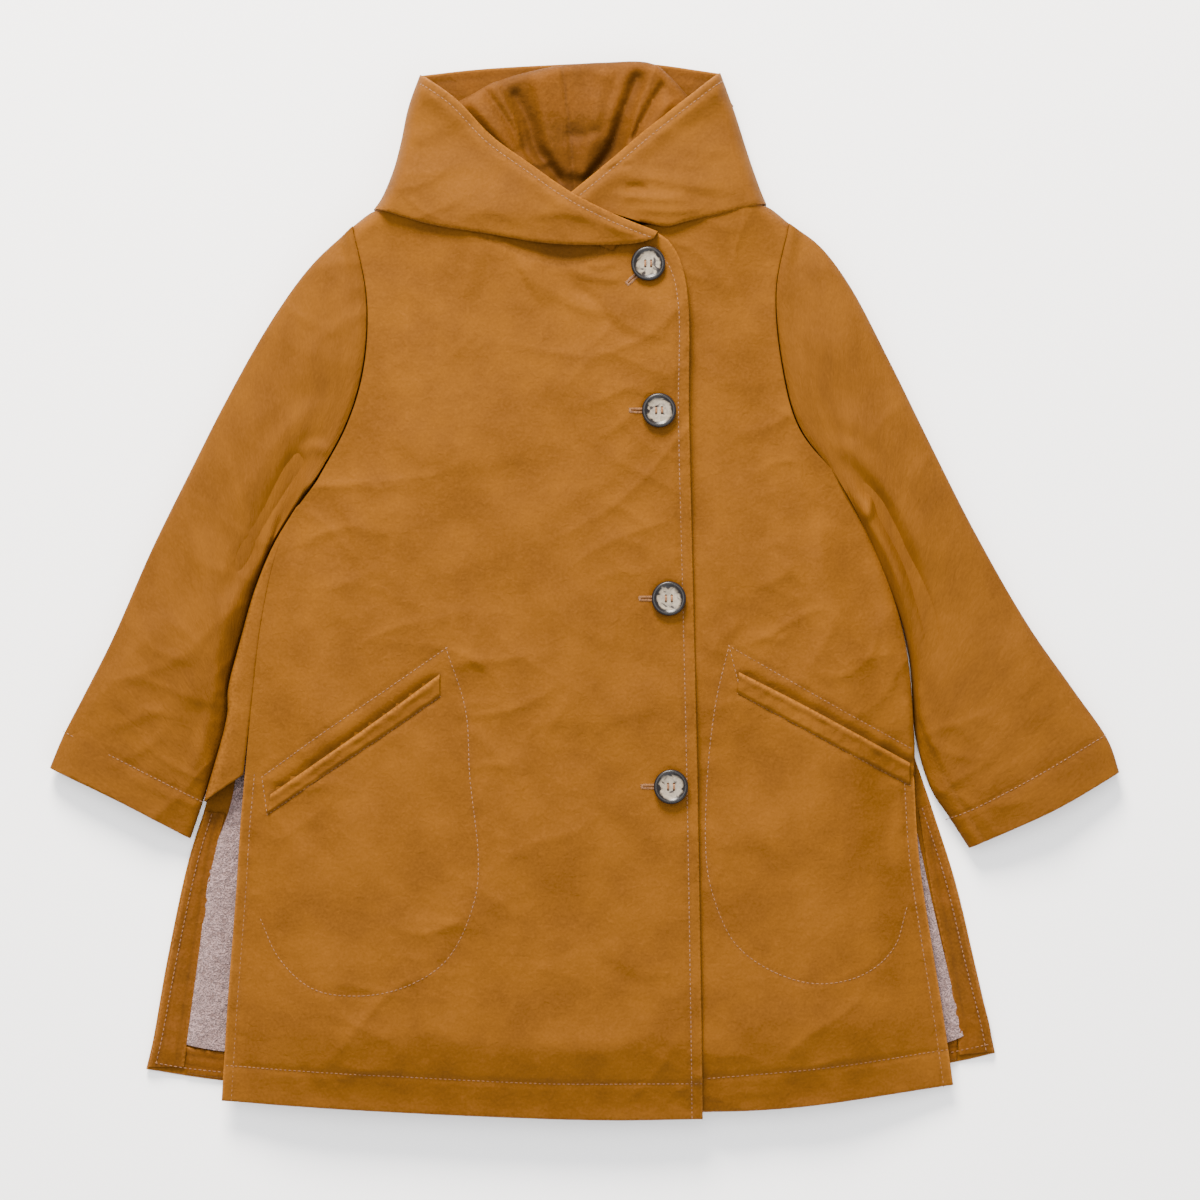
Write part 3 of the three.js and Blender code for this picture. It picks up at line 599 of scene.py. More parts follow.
RIGHT_CREASES = (
    Crease(((-70, 318), (-40, 285), (0, 262), (46, 255)), 2.6, 9, 1.8),
    Crease(((-20, 300), (10, 290), (40, 288)), 2.2, 6, 1.6),
    Crease(((-60, 312), (-52, 288), (-30, 262)), 1.9, 6, 1.5),
    Crease(((-92, 326), (-104, 300), (-112, 262)), 1.6, 10, 1.5),
    Crease(((-30, 290), (10, 268), (30, 240), (66, 232)), -1.8, 8),
    Crease(((0, 306), (14, 300), (34, 306)), 1.6, 5),
    Crease(((-205, 165), (-150, 130), (-90, 120), (-20, 145)), 1.5, 15, 2.2),
    Crease(((-215, 120), (-180, 75), (-170, 10), (-176, -60)), 1.4, 16, 2.0),
    Crease(((-245, 92), (-255, 50), (-272, 5), (-283, -50)), 2.2, 10, 1.8),
    Crease(((-236, 96), (-215, 60), (-205, 20)), 1.6, 9, 1.7),
    Crease(((-60, 10), (0, -35), (56, -50)), 1.5, 16, 2.0),
    Crease(((-50, -105), (10, -120), (90, -95)), 1.8, 14, 2.2),
    Crease(((-60, 60), (10, 95), (60, 150)), 1.2, 14, 2.0),
    Crease(((-20, -150), (20, -195), (70, -215)), 1.4, 13, 2.0),
    Crease(((10, -320), (50, -350), (90, -350)), 1.6, 12, 1.8),
    Crease(((-60, -410), (0, -425), (90, -400)), 1.8, 14, 1.8),
    Crease(((-230, -420), (-150, -405), (-90, -425)), 1.4, 14, 1.8),
    Crease(((-300, -160), (-302, -120), (-296, -80)), 1.7, 9, 1.6),
    Crease(((-311, -188), (-306, -230), (-311, -280)), 1.5, 7, 1.4),
    Crease(((-130, -75), (-108, -66), (-86, -70)), 1.7, 7, 1.4),
    Crease(((-190, 300), (-140, 260), (-120, 200)), 1.2, 18, 2.0),
)
LEFT_CREASES = (
    Crease(((118, 300), (150, 270), (165, 220)), 1.4, 15, 1.8),
    Crease(((100, 40), (150, 15), (215, 20)), 1.4, 16, 2.0),
    Crease(((110, -60), (132, -40), (150, -20)), 1.5, 9, 1.5),
    Crease(((236, 92), (222, 55), (224, 5), (240, -50)), 1.7, 13, 1.8),
    Crease(((262, 30), (280, -20), (286, -90)), 1.9, 9, 1.6),
    Crease(((283, -130), (262, -150), (240, -148)), 1.5, 8, 1.5),
    Crease(((300, -190), (290, -230), (296, -280)), 1.5, 8, 1.5),
    Crease(((120, -415), (180, -395), (250, -410)), 1.4, 14, 1.8),
    Crease(((110, -240), (160, -230), (200, -250)), 1.2, 14, 1.8),
    Crease(((104, 215), (140, 190), (176, 200)), 1.2, 12, 1.8),
)

SHOULDER_FOOT = 4.2  # Height where the fronts meet the back at the shoulders, in millimetres.


def right_surface(x: Grid, y: Grid) -> tuple[Grid, Grid]:
    """Outer surface of the right front with its seams, and a mask of the seams."""
    z = BODY.right(x, y) + BODY.folds(x, y) + creased(x, y, RIGHT_CREASES)
    pocket = POCKETS[Side.RIGHT]
    seams = (HEM_STITCH_RIGHT, EDGE_STITCH, VENT_STITCH_RIGHT, pocket.upper, pocket.lower, NECK_SEAM)
    groove, mask = grooved(x, y, seams, 1.1, 2.4)
    bag, bag_mask = grooved(x, y, (pocket.bag,), 0.5, 2.4)
    # Each button presses the wadded band in under it.
    z = z + groove + bag - 1.3 * smooth(19, 11, from_buttons(x, y))
    edge = np.minimum(nearest(x, y, HEM_RIGHT)[0], nearest(x, y, FRONT_EDGE)[0])
    z = z + rounded(edge, 3.6, 2.2)
    seam = nearest(x, y, NECK_SEAM)
    above = (seam[2] > 0) & (y > 300) & (x > -140)
    z = z - 2.5 * above * smooth(0, 8, seam[0])
    mouth = nearest(x, y, pocket.mouth)
    z = z - 3.6 * np.exp(-((mouth[0] / 5.0) ** 2)) * smooth(0.0, 0.06, mouth[1]) * smooth(0.0, 0.06, 1 - mouth[1])
    shoulder = nearest(x, y, SHOULDERS[0])[0]
    arm = nearest(x, y, ARMHOLE_RIGHT)[0]
    z = z + rounded(shoulder, 14, np.maximum(z - SHOULDER_FOOT, 0.0)) + rounded(arm, 2.2, 0.7)
    return z, np.maximum(mask, 0.7 * bag_mask)


def left_surface(x: Grid, y: Grid) -> tuple[Grid, Grid]:
    """Outer surface of the left front with its seams, and a mask of the seams."""
    z = BODY.left(x, y) + BODY.folds(x + 900, y) + creased(x, y, LEFT_CREASES)
    pocket = POCKETS[Side.LEFT]
    seams = (HEM_STITCH_LEFT, VENT_STITCH_LEFT, pocket.upper, pocket.lower)
    groove, mask = grooved(x, y, seams, 1.1, 2.4)
    bag, bag_mask = grooved(x, y, (pocket.bag,), 0.5, 2.4)
    z = z + groove + bag
    z = z + rounded(nearest(x, y, HEM_LEFT)[0], 3.6, 2.2)
    z = z + rounded(nearest(x, y, FLANK_LEFT)[0], 7, 6)
    mouth = nearest(x, y, pocket.mouth)
    z = z - 3.4 * np.exp(-((mouth[0] / 5.0) ** 2)) * smooth(0.0, 0.06, mouth[1])
    shoulder = nearest(x, y, SHOULDERS[1])[0]
    z = z + rounded(shoulder, 14, np.maximum(z - SHOULDER_FOOT, 0.0))
    z = z + rounded(nearest(x, y, ARMHOLE_LEFT)[0], 2.2, 0.7)
    # The left front goes under the right one.
    lap = smooth(125, 100, x)
    return z - 2.0 * lap, np.maximum(mask, 0.7 * bag_mask)


# ------------------------------------------------------------------ finishes
def linear(code: str, alpha: float = 1.0) -> tuple[float, float, float, float]:
    """Turn an sRGB hex colour into linear values."""
    parts = [int(code[k : k + 2], 16) / 255.0 for k in (1, 3, 5)]
    red, green, blue = (c / 12.92 if c <= 0.04045 else ((c + 0.055) / 1.055) ** 2.4 for c in parts)
    return red, green, blue, alpha


def add(tree: bpy.types.NodeTree, kind: str, links: dict | None = None, **settings: object) -> bpy.types.Node:
    """Add a node with its settings and links.

    Args:
        tree: Tree that gets the node.
        kind: Blender's name for the node.
        links: For each input, a socket to link or a value to set.
        settings: Properties of the node.

    Returns:
        The node.
    """
    made = tree.nodes.new(kind)
    for key, value in settings.items():
        setattr(made, key, value)
    for key, value in (links or {}).items():
        if isinstance(value, bpy.types.NodeSocket):
            tree.links.new(value, made.inputs[key])
        else:
            made.inputs[key].default_value = value
    return made


def blank(name: str) -> tuple[bpy.types.Material, bpy.types.NodeTree, bpy.types.Node]:
    """Make a material with one Principled shader."""
    material = bpy.data.materials.new(name)
    material.use_nodes = True
    tree = material.node_tree
    tree.nodes.clear()
    shader = add(tree, "ShaderNodeBsdfPrincipled")
    out = add(tree, "ShaderNodeOutputMaterial")
    tree.links.new(shader.outputs["BSDF"], out.inputs["Surface"])
    return material, tree, shader


def blended(tree: bpy.types.NodeTree, share: object, a: object, b: object, mode: str = "MIX") -> bpy.types.NodeSocket:
    """Mix two colours and return the result's socket."""
    made = add(tree, "ShaderNodeMix", data_type="RGBA", blend_type=mode)
    for index, value in ((0, share), (6, a), (7, b)):
        if isinstance(value, bpy.types.NodeSocket):
            tree.links.new(value, made.inputs[index])
        else:
            made.inputs[index].default_value = value
    return made.outputs[2]


def scaled(tree: bpy.types.NodeTree, value: object, low: float, high: float, to_low: float, to_high: float) -> object:
    """Map a value from one range to another and return its socket."""
    made = add(
        tree, "ShaderNodeMapRange",
        {"Value": value, "From Min": low, "From Max": high, "To Min": to_low, "To Max": to_high},
    )
    return made.outputs["Result"]


@dataclass(frozen=True)
class PeachedCloth:
    """Cotton-nylon weather cloth, garment dyed and peached: matt, mottled and finely crinkled."""

    name: str = "peached_cotton_nylon"
    body: str = "#5C3604"
    deep: str = "#432400"
    # Paler tone: random mottle, rubbed edges, and painted highlight along edges and seams.
    worn_and_lit: str = "#7C4D18"
    thread_mm: float = 1.3  # Real threads are 0.3 mm; this coarse they still show.
    crinkle_mm: float = 7.0
    mottle_mm: float = 46.0
    roughness: float = 0.78
    sheen: float = 0.045

    def make(self) -> bpy.types.Material:
        """Build the material."""
        material, tree, shader = blank(self.name)
        place = add(tree, "ShaderNodeUVMap", uv_map=CLOTH_UV).outputs["UV"]
        cloud = add(tree, "ShaderNodeTexNoise", {"Vector": place, "Scale": 1000 / self.mottle_mm, "Detail": 5.0})
        grain = add(tree, "ShaderNodeTexNoise", {"Vector": place, "Scale": 1000 / 2.6, "Detail": 3.0})
        crinkle = add(
            tree, "ShaderNodeTexNoise",
            {"Vector": place, "Scale": 1000 / self.crinkle_mm, "Detail": 4.0, "Distortion": 0.6},
        )
        colour = blended(
            tree, scaled(tree, cloud.outputs["Fac"], 0.36, 0.64, 0.0, 0.52), linear(self.body), linear(self.deep)
        )
        colour = blended(
            tree, scaled(tree, grain.outputs["Fac"], 0.35, 0.75, 0.0, 0.16), colour, linear(self.worn_and_lit)
        )
        colour = blended(
            tree, scaled(tree, crinkle.outputs["Fac"], 0.55, 0.8, 0.0, 0.14), colour, linear(self.worn_and_lit)
        )
        shade = add(tree, "ShaderNodeAttribute", attribute_name="shade").outputs["Fac"]
        wear_and_highlight = add(tree, "ShaderNodeAttribute", attribute_name="wear_and_highlight").outputs["Fac"]
        # Painted shade: the shade mark darkens the cloth towards a near-black brown in seams, grooves, hollows and
        # under other layers.
        colour = blended(tree, scaled(tree, shade, 0, 1, 0, 0.55), colour, linear("#2A1501"))
        # Edges and seams are painted paler, patchy with the grain: partly rubbing of the cloth, partly painted
        # highlight.
        worn_and_lit = add(
            tree, "ShaderNodeMath", {0: wear_and_highlight, 1: scaled(tree, grain.outputs["Fac"], 0.3, 0.6, 0.1, 0.75)},
            operation="MULTIPLY",
        ).outputs[0]
        colour = blended(tree, worn_and_lit, colour, linear(self.worn_and_lit))
        warp = add(
            tree, "ShaderNodeTexWave",
            {"Vector": place, "Scale": 1000 / self.thread_mm / 3.1416, "Distortion": 0.7, "Detail": 1.0},
            bands_direction="X",
        )
        weft = add(
            tree, "ShaderNodeTexWave",
            {"Vector": place, "Scale": 1000 / self.thread_mm / 3.1416, "Distortion": 0.7, "Detail": 1.0},
            bands_direction="Y",
        )
        weave = add(
            tree, "ShaderNodeMath", {0: warp.outputs["Fac"], 1: weft.outputs["Fac"]}, operation="MULTIPLY"
        ).outputs[0]
        bump = add(
            tree, "ShaderNodeBump", {"Height": crinkle.outputs["Fac"], "Strength": 0.55, "Distance": 0.0012}
        )
        bump = add(
            tree, "ShaderNodeBump",
            {"Height": weave, "Strength": 0.18, "Distance": 0.00025, "Normal": bump.outputs["Normal"]},
        )
        tree.links.new(colour, shader.inputs["Base Color"])
        tree.links.new(bump.outputs["Normal"], shader.inputs["Normal"])
        shader.inputs["Roughness"].default_value = self.roughness
        shader.inputs["Sheen Weight"].default_value = self.sheen
        shader.inputs["Sheen Roughness"].default_value = 0.45
        shader.inputs["Sheen Tint"].default_value = linear("#D08A30")
        shader.inputs["Specular IOR Level"].default_value = 0.09
        return material


@dataclass(frozen=True)
class BoaFleece:
    """Acrylic boa fleece: short matt curls in a mix of taupe and grey fibres."""

    name: str = "boa_fleece"
    light: str = "#957A77"
    middle: str = "#6A524D"
    dark: str = "#2C1E21"
    curl_mm: float = 4.5

    def make(self) -> bpy.types.Material:
        """Build the material."""
        material, tree, shader = blank(self.name)
        place = add(tree, "ShaderNodeUVMap", uv_map=CLOTH_UV).outputs["UV"]
        curl = add(
            tree, "ShaderNodeTexNoise",
            {"Vector": place, "Scale": 1000 / self.curl_mm, "Detail": 3.0, "Distortion": 2.2},
        )
        speck = add(tree, "ShaderNodeTexNoise", {"Vector": place, "Scale": 1000 / 1.6, "Detail": 2.0})
        patchy = add(tree, "ShaderNodeTexNoise", {"Vector": place, "Scale": 1000 / 18.0, "Detail": 2.0})
        colour = blended(
            tree, scaled(tree, curl.outputs["Fac"], 0.42, 0.6, 0.0, 1.0), linear(self.middle), linear(self.light)
        )
        colour = blended(
            tree, scaled(tree, speck.outputs["Fac"], 0.48, 0.64, 0.0, 0.75), colour, linear(self.dark)
        )
        colour = blended(
            tree, scaled(tree, patchy.outputs["Fac"], 0.45, 0.7, 0.0, 0.3), colour, linear(self.middle)
        )
        shade = add(tree, "ShaderNodeAttribute", attribute_name="shade").outputs["Fac"]
        # Painted shade: the shade mark darkens the fleece in the hollows between its curls.
        colour = blended(tree, scaled(tree, shade, 0, 1, 0, 0.6), colour, linear(self.dark))
        bump = add(
            tree, "ShaderNodeBump", {"Height": curl.outputs["Fac"], "Strength": 1.0, "Distance": 0.0022}
        )
        bump = add(
            tree, "ShaderNodeBump",
            {"Height": speck.outputs["Fac"], "Strength": 0.7, "Distance": 0.0008, "Normal": bump.outputs["Normal"]},
        )
        tree.links.new(colour, shader.inputs["Base Color"])
        tree.links.new(bump.outputs["Normal"], shader.inputs["Normal"])
        shader.inputs["Roughness"].default_value = 0.95
        shader.inputs["Sheen Weight"].default_value = 0.3
        shader.inputs["Sheen Roughness"].default_value = 0.6
        shader.inputs["Specular IOR Level"].default_value = 0.15
        return material


@dataclass(frozen=True)
class SewingThread:
    """Spun polyester thread, tan, with a faint twist."""

    name: str = "tan_sewing_thread"
    colour: str = "#7A4D1C"
    dark: str = "#55300C"

    def make(self) -> bpy.types.Material:
        """Build the material."""
        material, tree, shader = blank(self.name)
        place = add(tree, "ShaderNodeTexCoord").outputs["Object"]
        twist = add(tree, "ShaderNodeTexNoise", {"Vector": place, "Scale": 1000 / 1.5, "Detail": 2.0})
        colour = blended(
            tree, scaled(tree, twist.outputs["Fac"], 0.35, 0.65, 0, 1), linear(self.colour), linear(self.dark)
        )
        bump = add(
            tree, "ShaderNodeBump", {"Height": twist.outputs["Fac"], "Strength": 0.5, "Distance": 0.0003}
        )
        tree.links.new(colour, shader.inputs["Base Color"])
        tree.links.new(bump.outputs["Normal"], shader.inputs["Normal"])
        shader.inputs["Roughness"].default_value = 0.7
        shader.inputs["Sheen Weight"].default_value = 0.2
        return material


@dataclass(frozen=True)
class HornResin:
    """Cast polyester that copies horn: a dark glossy rim round a pearly, clouded middle."""

    name: str = "horn_look_polyester"
    rim: str = "#0B0605"
    brown: str = "#1C110B"
    pearl: str = "#7F7464"
    grey: str = "#4A4339"

    def make(self) -> bpy.types.Material:
        """Build the material."""
        material, tree, shader = blank(self.name)
        place = add(tree, "ShaderNodeTexCoord").outputs["Object"]
        cloud = add(
            tree, "ShaderNodeTexNoise", {"Vector": place, "Scale": 1000 / 13.0, "Detail": 3.0, "Distortion": 1.6}
        )
        fine = add(
            tree, "ShaderNodeTexNoise", {"Vector": place, "Scale": 1000 / 4.0, "Detail": 3.0, "Distortion": 0.8}
        )
        radial = add(tree, "ShaderNodeAttribute", attribute_name="radial").outputs["Fac"]
        pearl = blended(
            tree, scaled(tree, fine.outputs["Fac"], 0.35, 0.7, 0, 0.6), linear(self.pearl), linear(self.grey)
        )
        pearl = blended(tree, scaled(tree, cloud.outputs["Fac"], 0.52, 0.6, 0, 1), pearl, linear(self.brown))
        edge = add(
            tree, "ShaderNodeMath", {0: radial, 1: scaled(tree, cloud.outputs["Fac"], 0.3, 0.7, -0.1, 0.1)},
            operation="ADD",
        ).outputs[0]
        dark = blended(
            tree, scaled(tree, fine.outputs["Fac"], 0.5, 0.75, 0, 0.6), linear(self.rim), linear(self.brown)
        )
        colour = blended(tree, scaled(tree, edge, 0.62, 0.74, 0, 1), pearl, dark)
        tree.links.new(colour, shader.inputs["Base Color"])
        shader.inputs["Roughness"].default_value = 0.3
        shader.inputs["IOR"].default_value = 1.5
        shader.inputs["Specular IOR Level"].default_value = 0.3
        return material


@dataclass(frozen=True)
class PaintedBoard:
    """Matt white painted board that the coat lies on."""

    name: str = "matt_white_board"
    colour: str = "#FCFBFA"

    def make(self) -> bpy.types.Material:
        """Build the material."""
        material, tree, shader = blank(self.name)
        place = add(tree, "ShaderNodeTexCoord").outputs["Object"]
        tone = add(tree, "ShaderNodeTexNoise", {"Vector": place, "Scale": 3.0, "Detail": 2.0})
        colour = blended(
            tree, scaled(tree, tone.outputs["Fac"], 0.3, 0.7, 0, 0.25), linear(self.colour), linear("#F8F7F6")
        )
        tree.links.new(colour, shader.inputs["Base Color"])
        shader.inputs["Roughness"].default_value = 0.9
        shader.inputs["Specular IOR Level"].default_value = 0.1
        return material


@dataclass
class Finishes:
    """The coat's materials."""

    outer: bpy.types.Material
    facing: bpy.types.Material
    fleece: bpy.types.Material
    thread: bpy.types.Material
    horn: bpy.types.Material
    board: bpy.types.Material

    @classmethod
    def make(cls) -> Finishes:
        """Build all the materials."""
        return cls(
            outer=PeachedCloth().make(),
            # A darker copy of the outer cloth for the facings and the hood's inside: painted shade.
            facing=PeachedCloth(name="peached_cotton_nylon_facing_shaded", body="#502C02", deep="#3A2001").make(),
            fleece=BoaFleece().make(),
            thread=SewingThread().make(),
            horn=HornResin().make(),
            board=PaintedBoard().make(),
        )


# ------------------------------------------------------------------ what every piece is told
class Follow(Enum):
    """Which part of the coat a piece goes with."""

    TORSO = "torso"
    FRONT_RIGHT = "front_right"
    FRONT_LEFT = "front_left"
    SLEEVE_RIGHT = "sleeve_right"
    SLEEVE_LEFT = "sleeve_left"


SLEEVE_BENDS = {
    "sleeve_right": ((-0.252, 0.098, 0.02), (-0.402, -0.052, 0.02)),
    "sleeve_left": ((0.244, 0.098, 0.02), (0.394, -0.052, 0.02)),
}


def follow(piece: bpy.types.Object, how: Follow) -> None:
    """Tie a torso piece to the torso's body; bake any other piece's place into its mesh."""
    if how is Follow.TORSO:
        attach(piece, "torso")
    elif how in (Follow.SLEEVE_RIGHT, Follow.SLEEVE_LEFT):
        start, end = SLEEVE_BENDS[how.value]
        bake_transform(piece)
        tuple(start)
        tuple(end)
    else:
        side = Side.RIGHT if how is Follow.FRONT_RIGHT else Side.LEFT
        start, end = hinge_span(side, 0.010, 0.035)
        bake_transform(piece)
        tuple(start)
        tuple(end)


def dressed(
    piece: bpy.types.Object, material: bpy.types.Material, slot: str, nodes: Sequence[str] = ()
) -> bpy.types.Object:
    """Give a piece its material and hide the nodes that it stands for."""
    piece.data.materials.append(material)
    if nodes:
        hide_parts(*nodes)
    return piece


def one_layer(piece: bpy.types.Object) -> float:
    """Area of one layer of a thin closed piece, in square metres."""
    area = np.empty(len(piece.data.polygons))
    piece.data.polygons.foreach_get("area", area)
    return float(area.sum() / 2)


def declare(piece: bpy.types.Object, held: str, flat: Grid | None = None) -> None:
    """Say what sheet of cloth a piece is.

    Args:
        piece: The cloth.
        held: One of the ways that a sheet is held.
        flat: Its width and length in metres. Left out, they are those of the lying piece.
    """
    place = np.array([v.co[:2] for v in piece.data.vertices])
    # The cut's own length and width, whichever way it lies.
    turned = (place - place.mean(0)) @ np.linalg.eigh(np.cov(place.T))[1]
    width, length = flat if flat is not None else np.ptp(turned, axis=0)
    width, length = sorted((float(width), float(length)))
    area = one_layer(piece) / 1.03
    if area < 0.4 * width * length:
        width = 1.2 * area / length  # A curved strip is cut narrower than the box round it.
    width, length = round(width, 3), round(length, 3)
    area = min(area, width * length)
    LOG.info("%s: cut %.0f by %.0f mm, %.4f m2, %s", piece.name, width / MM, length / MM, area, held)


def wear_and_light_marks(x: Grid, y: Grid, edges: Iterable[Line], seams: Grid) -> dict[str, Grid]:
    """Marks for edges painted paler, partly rubbing and partly painted highlight, and for painted shade in seams."""
    worn_and_lit = np.zeros(np.shape(x))
    for edge in edges:
        worn_and_lit = np.maximum(worn_and_lit, np.exp(-((nearest(x, y, edge)[0] / 1.6) ** 2)))
    return {"wear_and_highlight": np.clip(0.9 * worn_and_lit + 0.25 * seams, 0, 1), "shade": np.clip(0.55 * seams, 0, 1)}


# ------------------------------------------------------------------ sub-assemblies
@dataclass
class Fronts:
    """The two fronts: outer cloth, fleece, facings and pocket bags."""

    finishes: Finishes
    shell: float = 2.4
    cells: tuple[int, int] = (148, 328)
    lining_cells: tuple[int, int] = (96, 216)
    fleece: float = 5.5
    pieces: list[str] = field(default_factory=list)

    def outer(self, side: Side) -> bpy.types.Object:
        """Build the outer cloth of one front."""
        across, up = self.cells
        if side is Side.RIGHT:
            lines = (HEM_RIGHT, TOP_RIGHT, SIDE_RIGHT, FRONT_EDGE)
            s, t = stations(across, 400), stations(up, 840)
        else:
            lines = (HEM_LEFT, TOP_LEFT, UNDER_EDGE, SIDE_LEFT)
            s, t = stations(across - 36, 240), stations(up, 840)
        x, y = patch(*lines, s, t)
        z, seams = (right_surface if side is Side.RIGHT else left_surface)(x, y)
        edges = (HEM_RIGHT, FRONT_EDGE, VENT_RIGHT) if side is Side.RIGHT else (HEM_LEFT, VENT_LEFT, FLANK_LEFT)
        # Edges painted paler, partly rubbing and partly painted highlight; painted shade in the seams.
        marks = wear_and_light_marks(x, y, edges, seams)
        pocket = POCKETS[side]
        mouth = nearest(x, y, pocket.mouth)
        # Painted shade in the pocket mouth.
        marks["shade"] = np.maximum(marks["shade"], 0.9 * np.exp(-((mouth[0] / 2.6) ** 2)))
        arm = nearest(x, y, ARMHOLE_RIGHT if side is Side.RIGHT else ARMHOLE_LEFT)[0]
        # Painted shade along the armhole seam.
        marks["shade"] = np.maximum(marks["shade"], 0.3 * np.exp(-((arm / 1.2) ** 2)))
        neck = nearest(x, y, NECK_SEAM)
        # Painted shadow above the neck seam, under the hood's wings.
        if side is Side.RIGHT:
            hidden = (neck[2] > 0) & (y > 300) & (x > -130)
            marks["shade"] = np.maximum(marks["shade"], 0.35 * hidden * smooth(0, 4, neck[0]))
        under = stack(x, y, z - self.shell)
        piece = sheet_object(f"front_{side.value}_cloth", stack(x, y, z), under, marks=marks)
        nodes = [f"front_{side.value}_panel", f"front_side_{side.value}"]
        if side is Side.RIGHT:
            nodes.append("buttonhole_band")
        dressed(piece, self.finishes.outer, "outer_cloth", nodes)
        declare(piece, "laid")
        follow(piece, Follow(side.front))
        return piece

    def lining(self, side: Side) -> bpy.types.Object:
        """Build the fleece inside one front, seen from below when the coat is open."""
        lo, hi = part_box(f"front_{side.value}_lining")
        across, up = self.lining_cells
        if side is Side.RIGHT:
            lines = (
                spline([(-318, -444), (-120, -452), (28, -456)]), spline([(-190, 318), (-100, 316), (24, 296)]),
                joined(
                    spline([(-318, -444), (-306, -287), (-300, -176)]), spline([(-300, -176), (-282, -20), (-240, 92)]),
                    spline([(-240, 92), (-200, 165), (-190, 318)]), count=160,
                ),
                spline([(28, -456), (26, -8), (24, 296)]),
            )
            surface, drop = BODY.right, 10.0
        else:
            across = across * 2 // 3 // 4 * 4
            lines = (
                spline([(92, -452), (200, -444), (324, -430)]), spline([(84, 316), (130, 322), (170, 318)]),
                spline([(92, -452), (90, -8), (84, 316)]),
                joined(
                    spline([(324, -430), (300, -287), (292, -176)]), spline([(292, -176), (280, -46), (230, 92)]),
                    spline([(230, 92), (174, 190), (170, 318)]), count=160,
                ),
            )
            surface, drop = BODY.left, 7.0
        x, y = patch(*lines, stations(across, 330), stations(up, 780))
        top = surface(x, y) - mix(6.4, drop, smooth(20, 120, np.minimum(
            nearest(x, y, SIDE_RIGHT)[0], nearest(x, y, SIDE_LEFT)[0])))
        curl = pile(x, y)
        low = top - self.fleece * 0.62 - 1.9 * curl
        low = np.maximum(low, 10.6)
        top = np.maximum(top, low + 1.4)
        # Painted shade: the fleece is darker where its curls lie low.
        piece = sheet_object(
            f"front_{side.value}_fleece", stack(x, y, low), stack(x, y, top), marks={"shade": 0.5 - 0.5 * curl}
        )
        dressed(piece, self.finishes.fleece, "pile_lining", [f"front_{side.value}_lining"])
        declare(piece, "laid")
        follow(piece, Follow(side.front))
        return piece

    def strip(
        self, name: str, low: Sequence, high: Sequence, side: Side, nodes: Sequence[str], gap: float = 0.5,
        thickness: float = 1.5, cells: tuple[int, int] = (20, 96),
    ) -> bpy.types.Object:
        """Build a turned edge or a bag that lies inside a front, between two lines.

        Args:
            name: Name of the piece.
            low: Points of its first long edge.
            high: Points of its second long edge.
            side: The front that it is sewn to.
            nodes: The nodes that it stands for.
            gap: Clearance to the cloth above.
            thickness: Thickness of the strip.
            cells: Cells across and along.

        Returns:
            The piece.
        """
        a, b = spline(low, 120), spline(high, 120)
        x, y = patch(spaced(np.array([a[0], b[0]]), 8), spaced(np.array([a[-1], b[-1]]), 8), a, b,
                     stations(cells[0], 40, (0.5, 1.5)), stations(cells[1], 700, (1.0, 3.0)))
        surface = right_surface if side is Side.RIGHT else left_surface
        top = surface(x, y)[0] - self.shell - gap
        edge = np.minimum(nearest(x, y, a)[0], nearest(x, y, b)[0])
        # Edges painted paler, partly rubbing and partly painted highlight; painted shade along the stitch groove 6 mm
        # in.
        marks = {"wear_and_highlight": 0.5 * np.exp(-((edge / 1.2) ** 2)), "shade": 0.4 * np.exp(-(((edge - 6) / 1.2) ** 2))}
        piece = sheet_object(name, stack(x, y, top - thickness), stack(x, y, top), marks=marks)
        dressed(piece, self.finishes.facing, "facing_cloth", nodes)
        declare(piece, "stretched")
        follow(piece, Follow(side.front))
        return piece

    def build(self) -> None:
        """Build both fronts."""
        for side in Side:
            self.outer(side)
            self.lining(side)
        self.strip(
            "front_right_facing_cloth", [(32, -454), (32, -185), (30, -8), (28, 167), (30, 300)],
            [(105, -486), (100, -185), (96, -8), (92, 167), (88, 286)], Side.RIGHT, ["front_right_facing"],
        )
        self.strip(
            "front_left_facing_cloth", [(56, -450), (56, -185), (55, -8), (53, 167), (52, 300)],
            [(88, -450), (88, -185), (87, -8), (85, 167), (82, 300)], Side.LEFT, ["front_left_facing"],
        )
        self.strip(
            "front_right_hem_cloth", [(-332, -470), (-170, -480), (14, -487), (28, -487)],
            [(-328, -448), (-150, -456), (0, -461), (28, -461)], Side.RIGHT, ["front_right_hem_facing"],
        )
        self.strip(
            "front_left_hem_cloth", [(56, -483), (120, -480), (183, -477), (338, -458)],
            [(56, -457), (120, -455), (200, -449), (334, -434)], Side.LEFT, ["front_left_hem_facing"],
        )
        for side, pocket in POCKETS.items():
            out = -1 if side is Side.RIGHT else 1
            low = [(117 * out, -110), (108 * out, -250), (130 * out, -335), (165 * out, -360)]
            high = [(285 * out, -200), (290 * out, -260), (288 * out, -320), (250 * out, -362)]
            self.strip(
                f"pocket_{side.value}_bag", low if out > 0 else high, high if out > 0 else low, side,
                [f"pocket_bag_{side.value}"], gap=0.4, thickness=1.0, cells=(28, 48),
            )


def pile(x: Grid, y: Grid) -> Grid:
    """Height of the fleece curls, from about 0 to 1."""
    wx = 3.2 * CURL.at(x / 9.0, y / 9.0)
    wy = 3.2 * CURL.at(x / 9.0 + 40, y / 9.0 - 70)
    worm = 1.0 - np.abs(CURL.at((x + wx) / 7.5, (y + wy) / 7.5)) * 1.9
    fine = CURL.at(x / 3.6 + 9, y / 3.6 + 3)
    tuft = CURL.at(x / 26.0, y / 26.0)
    return np.clip(0.55 * worm + 0.2 * fine + 0.22 * tuft + 0.2, 0.0, 1.0)


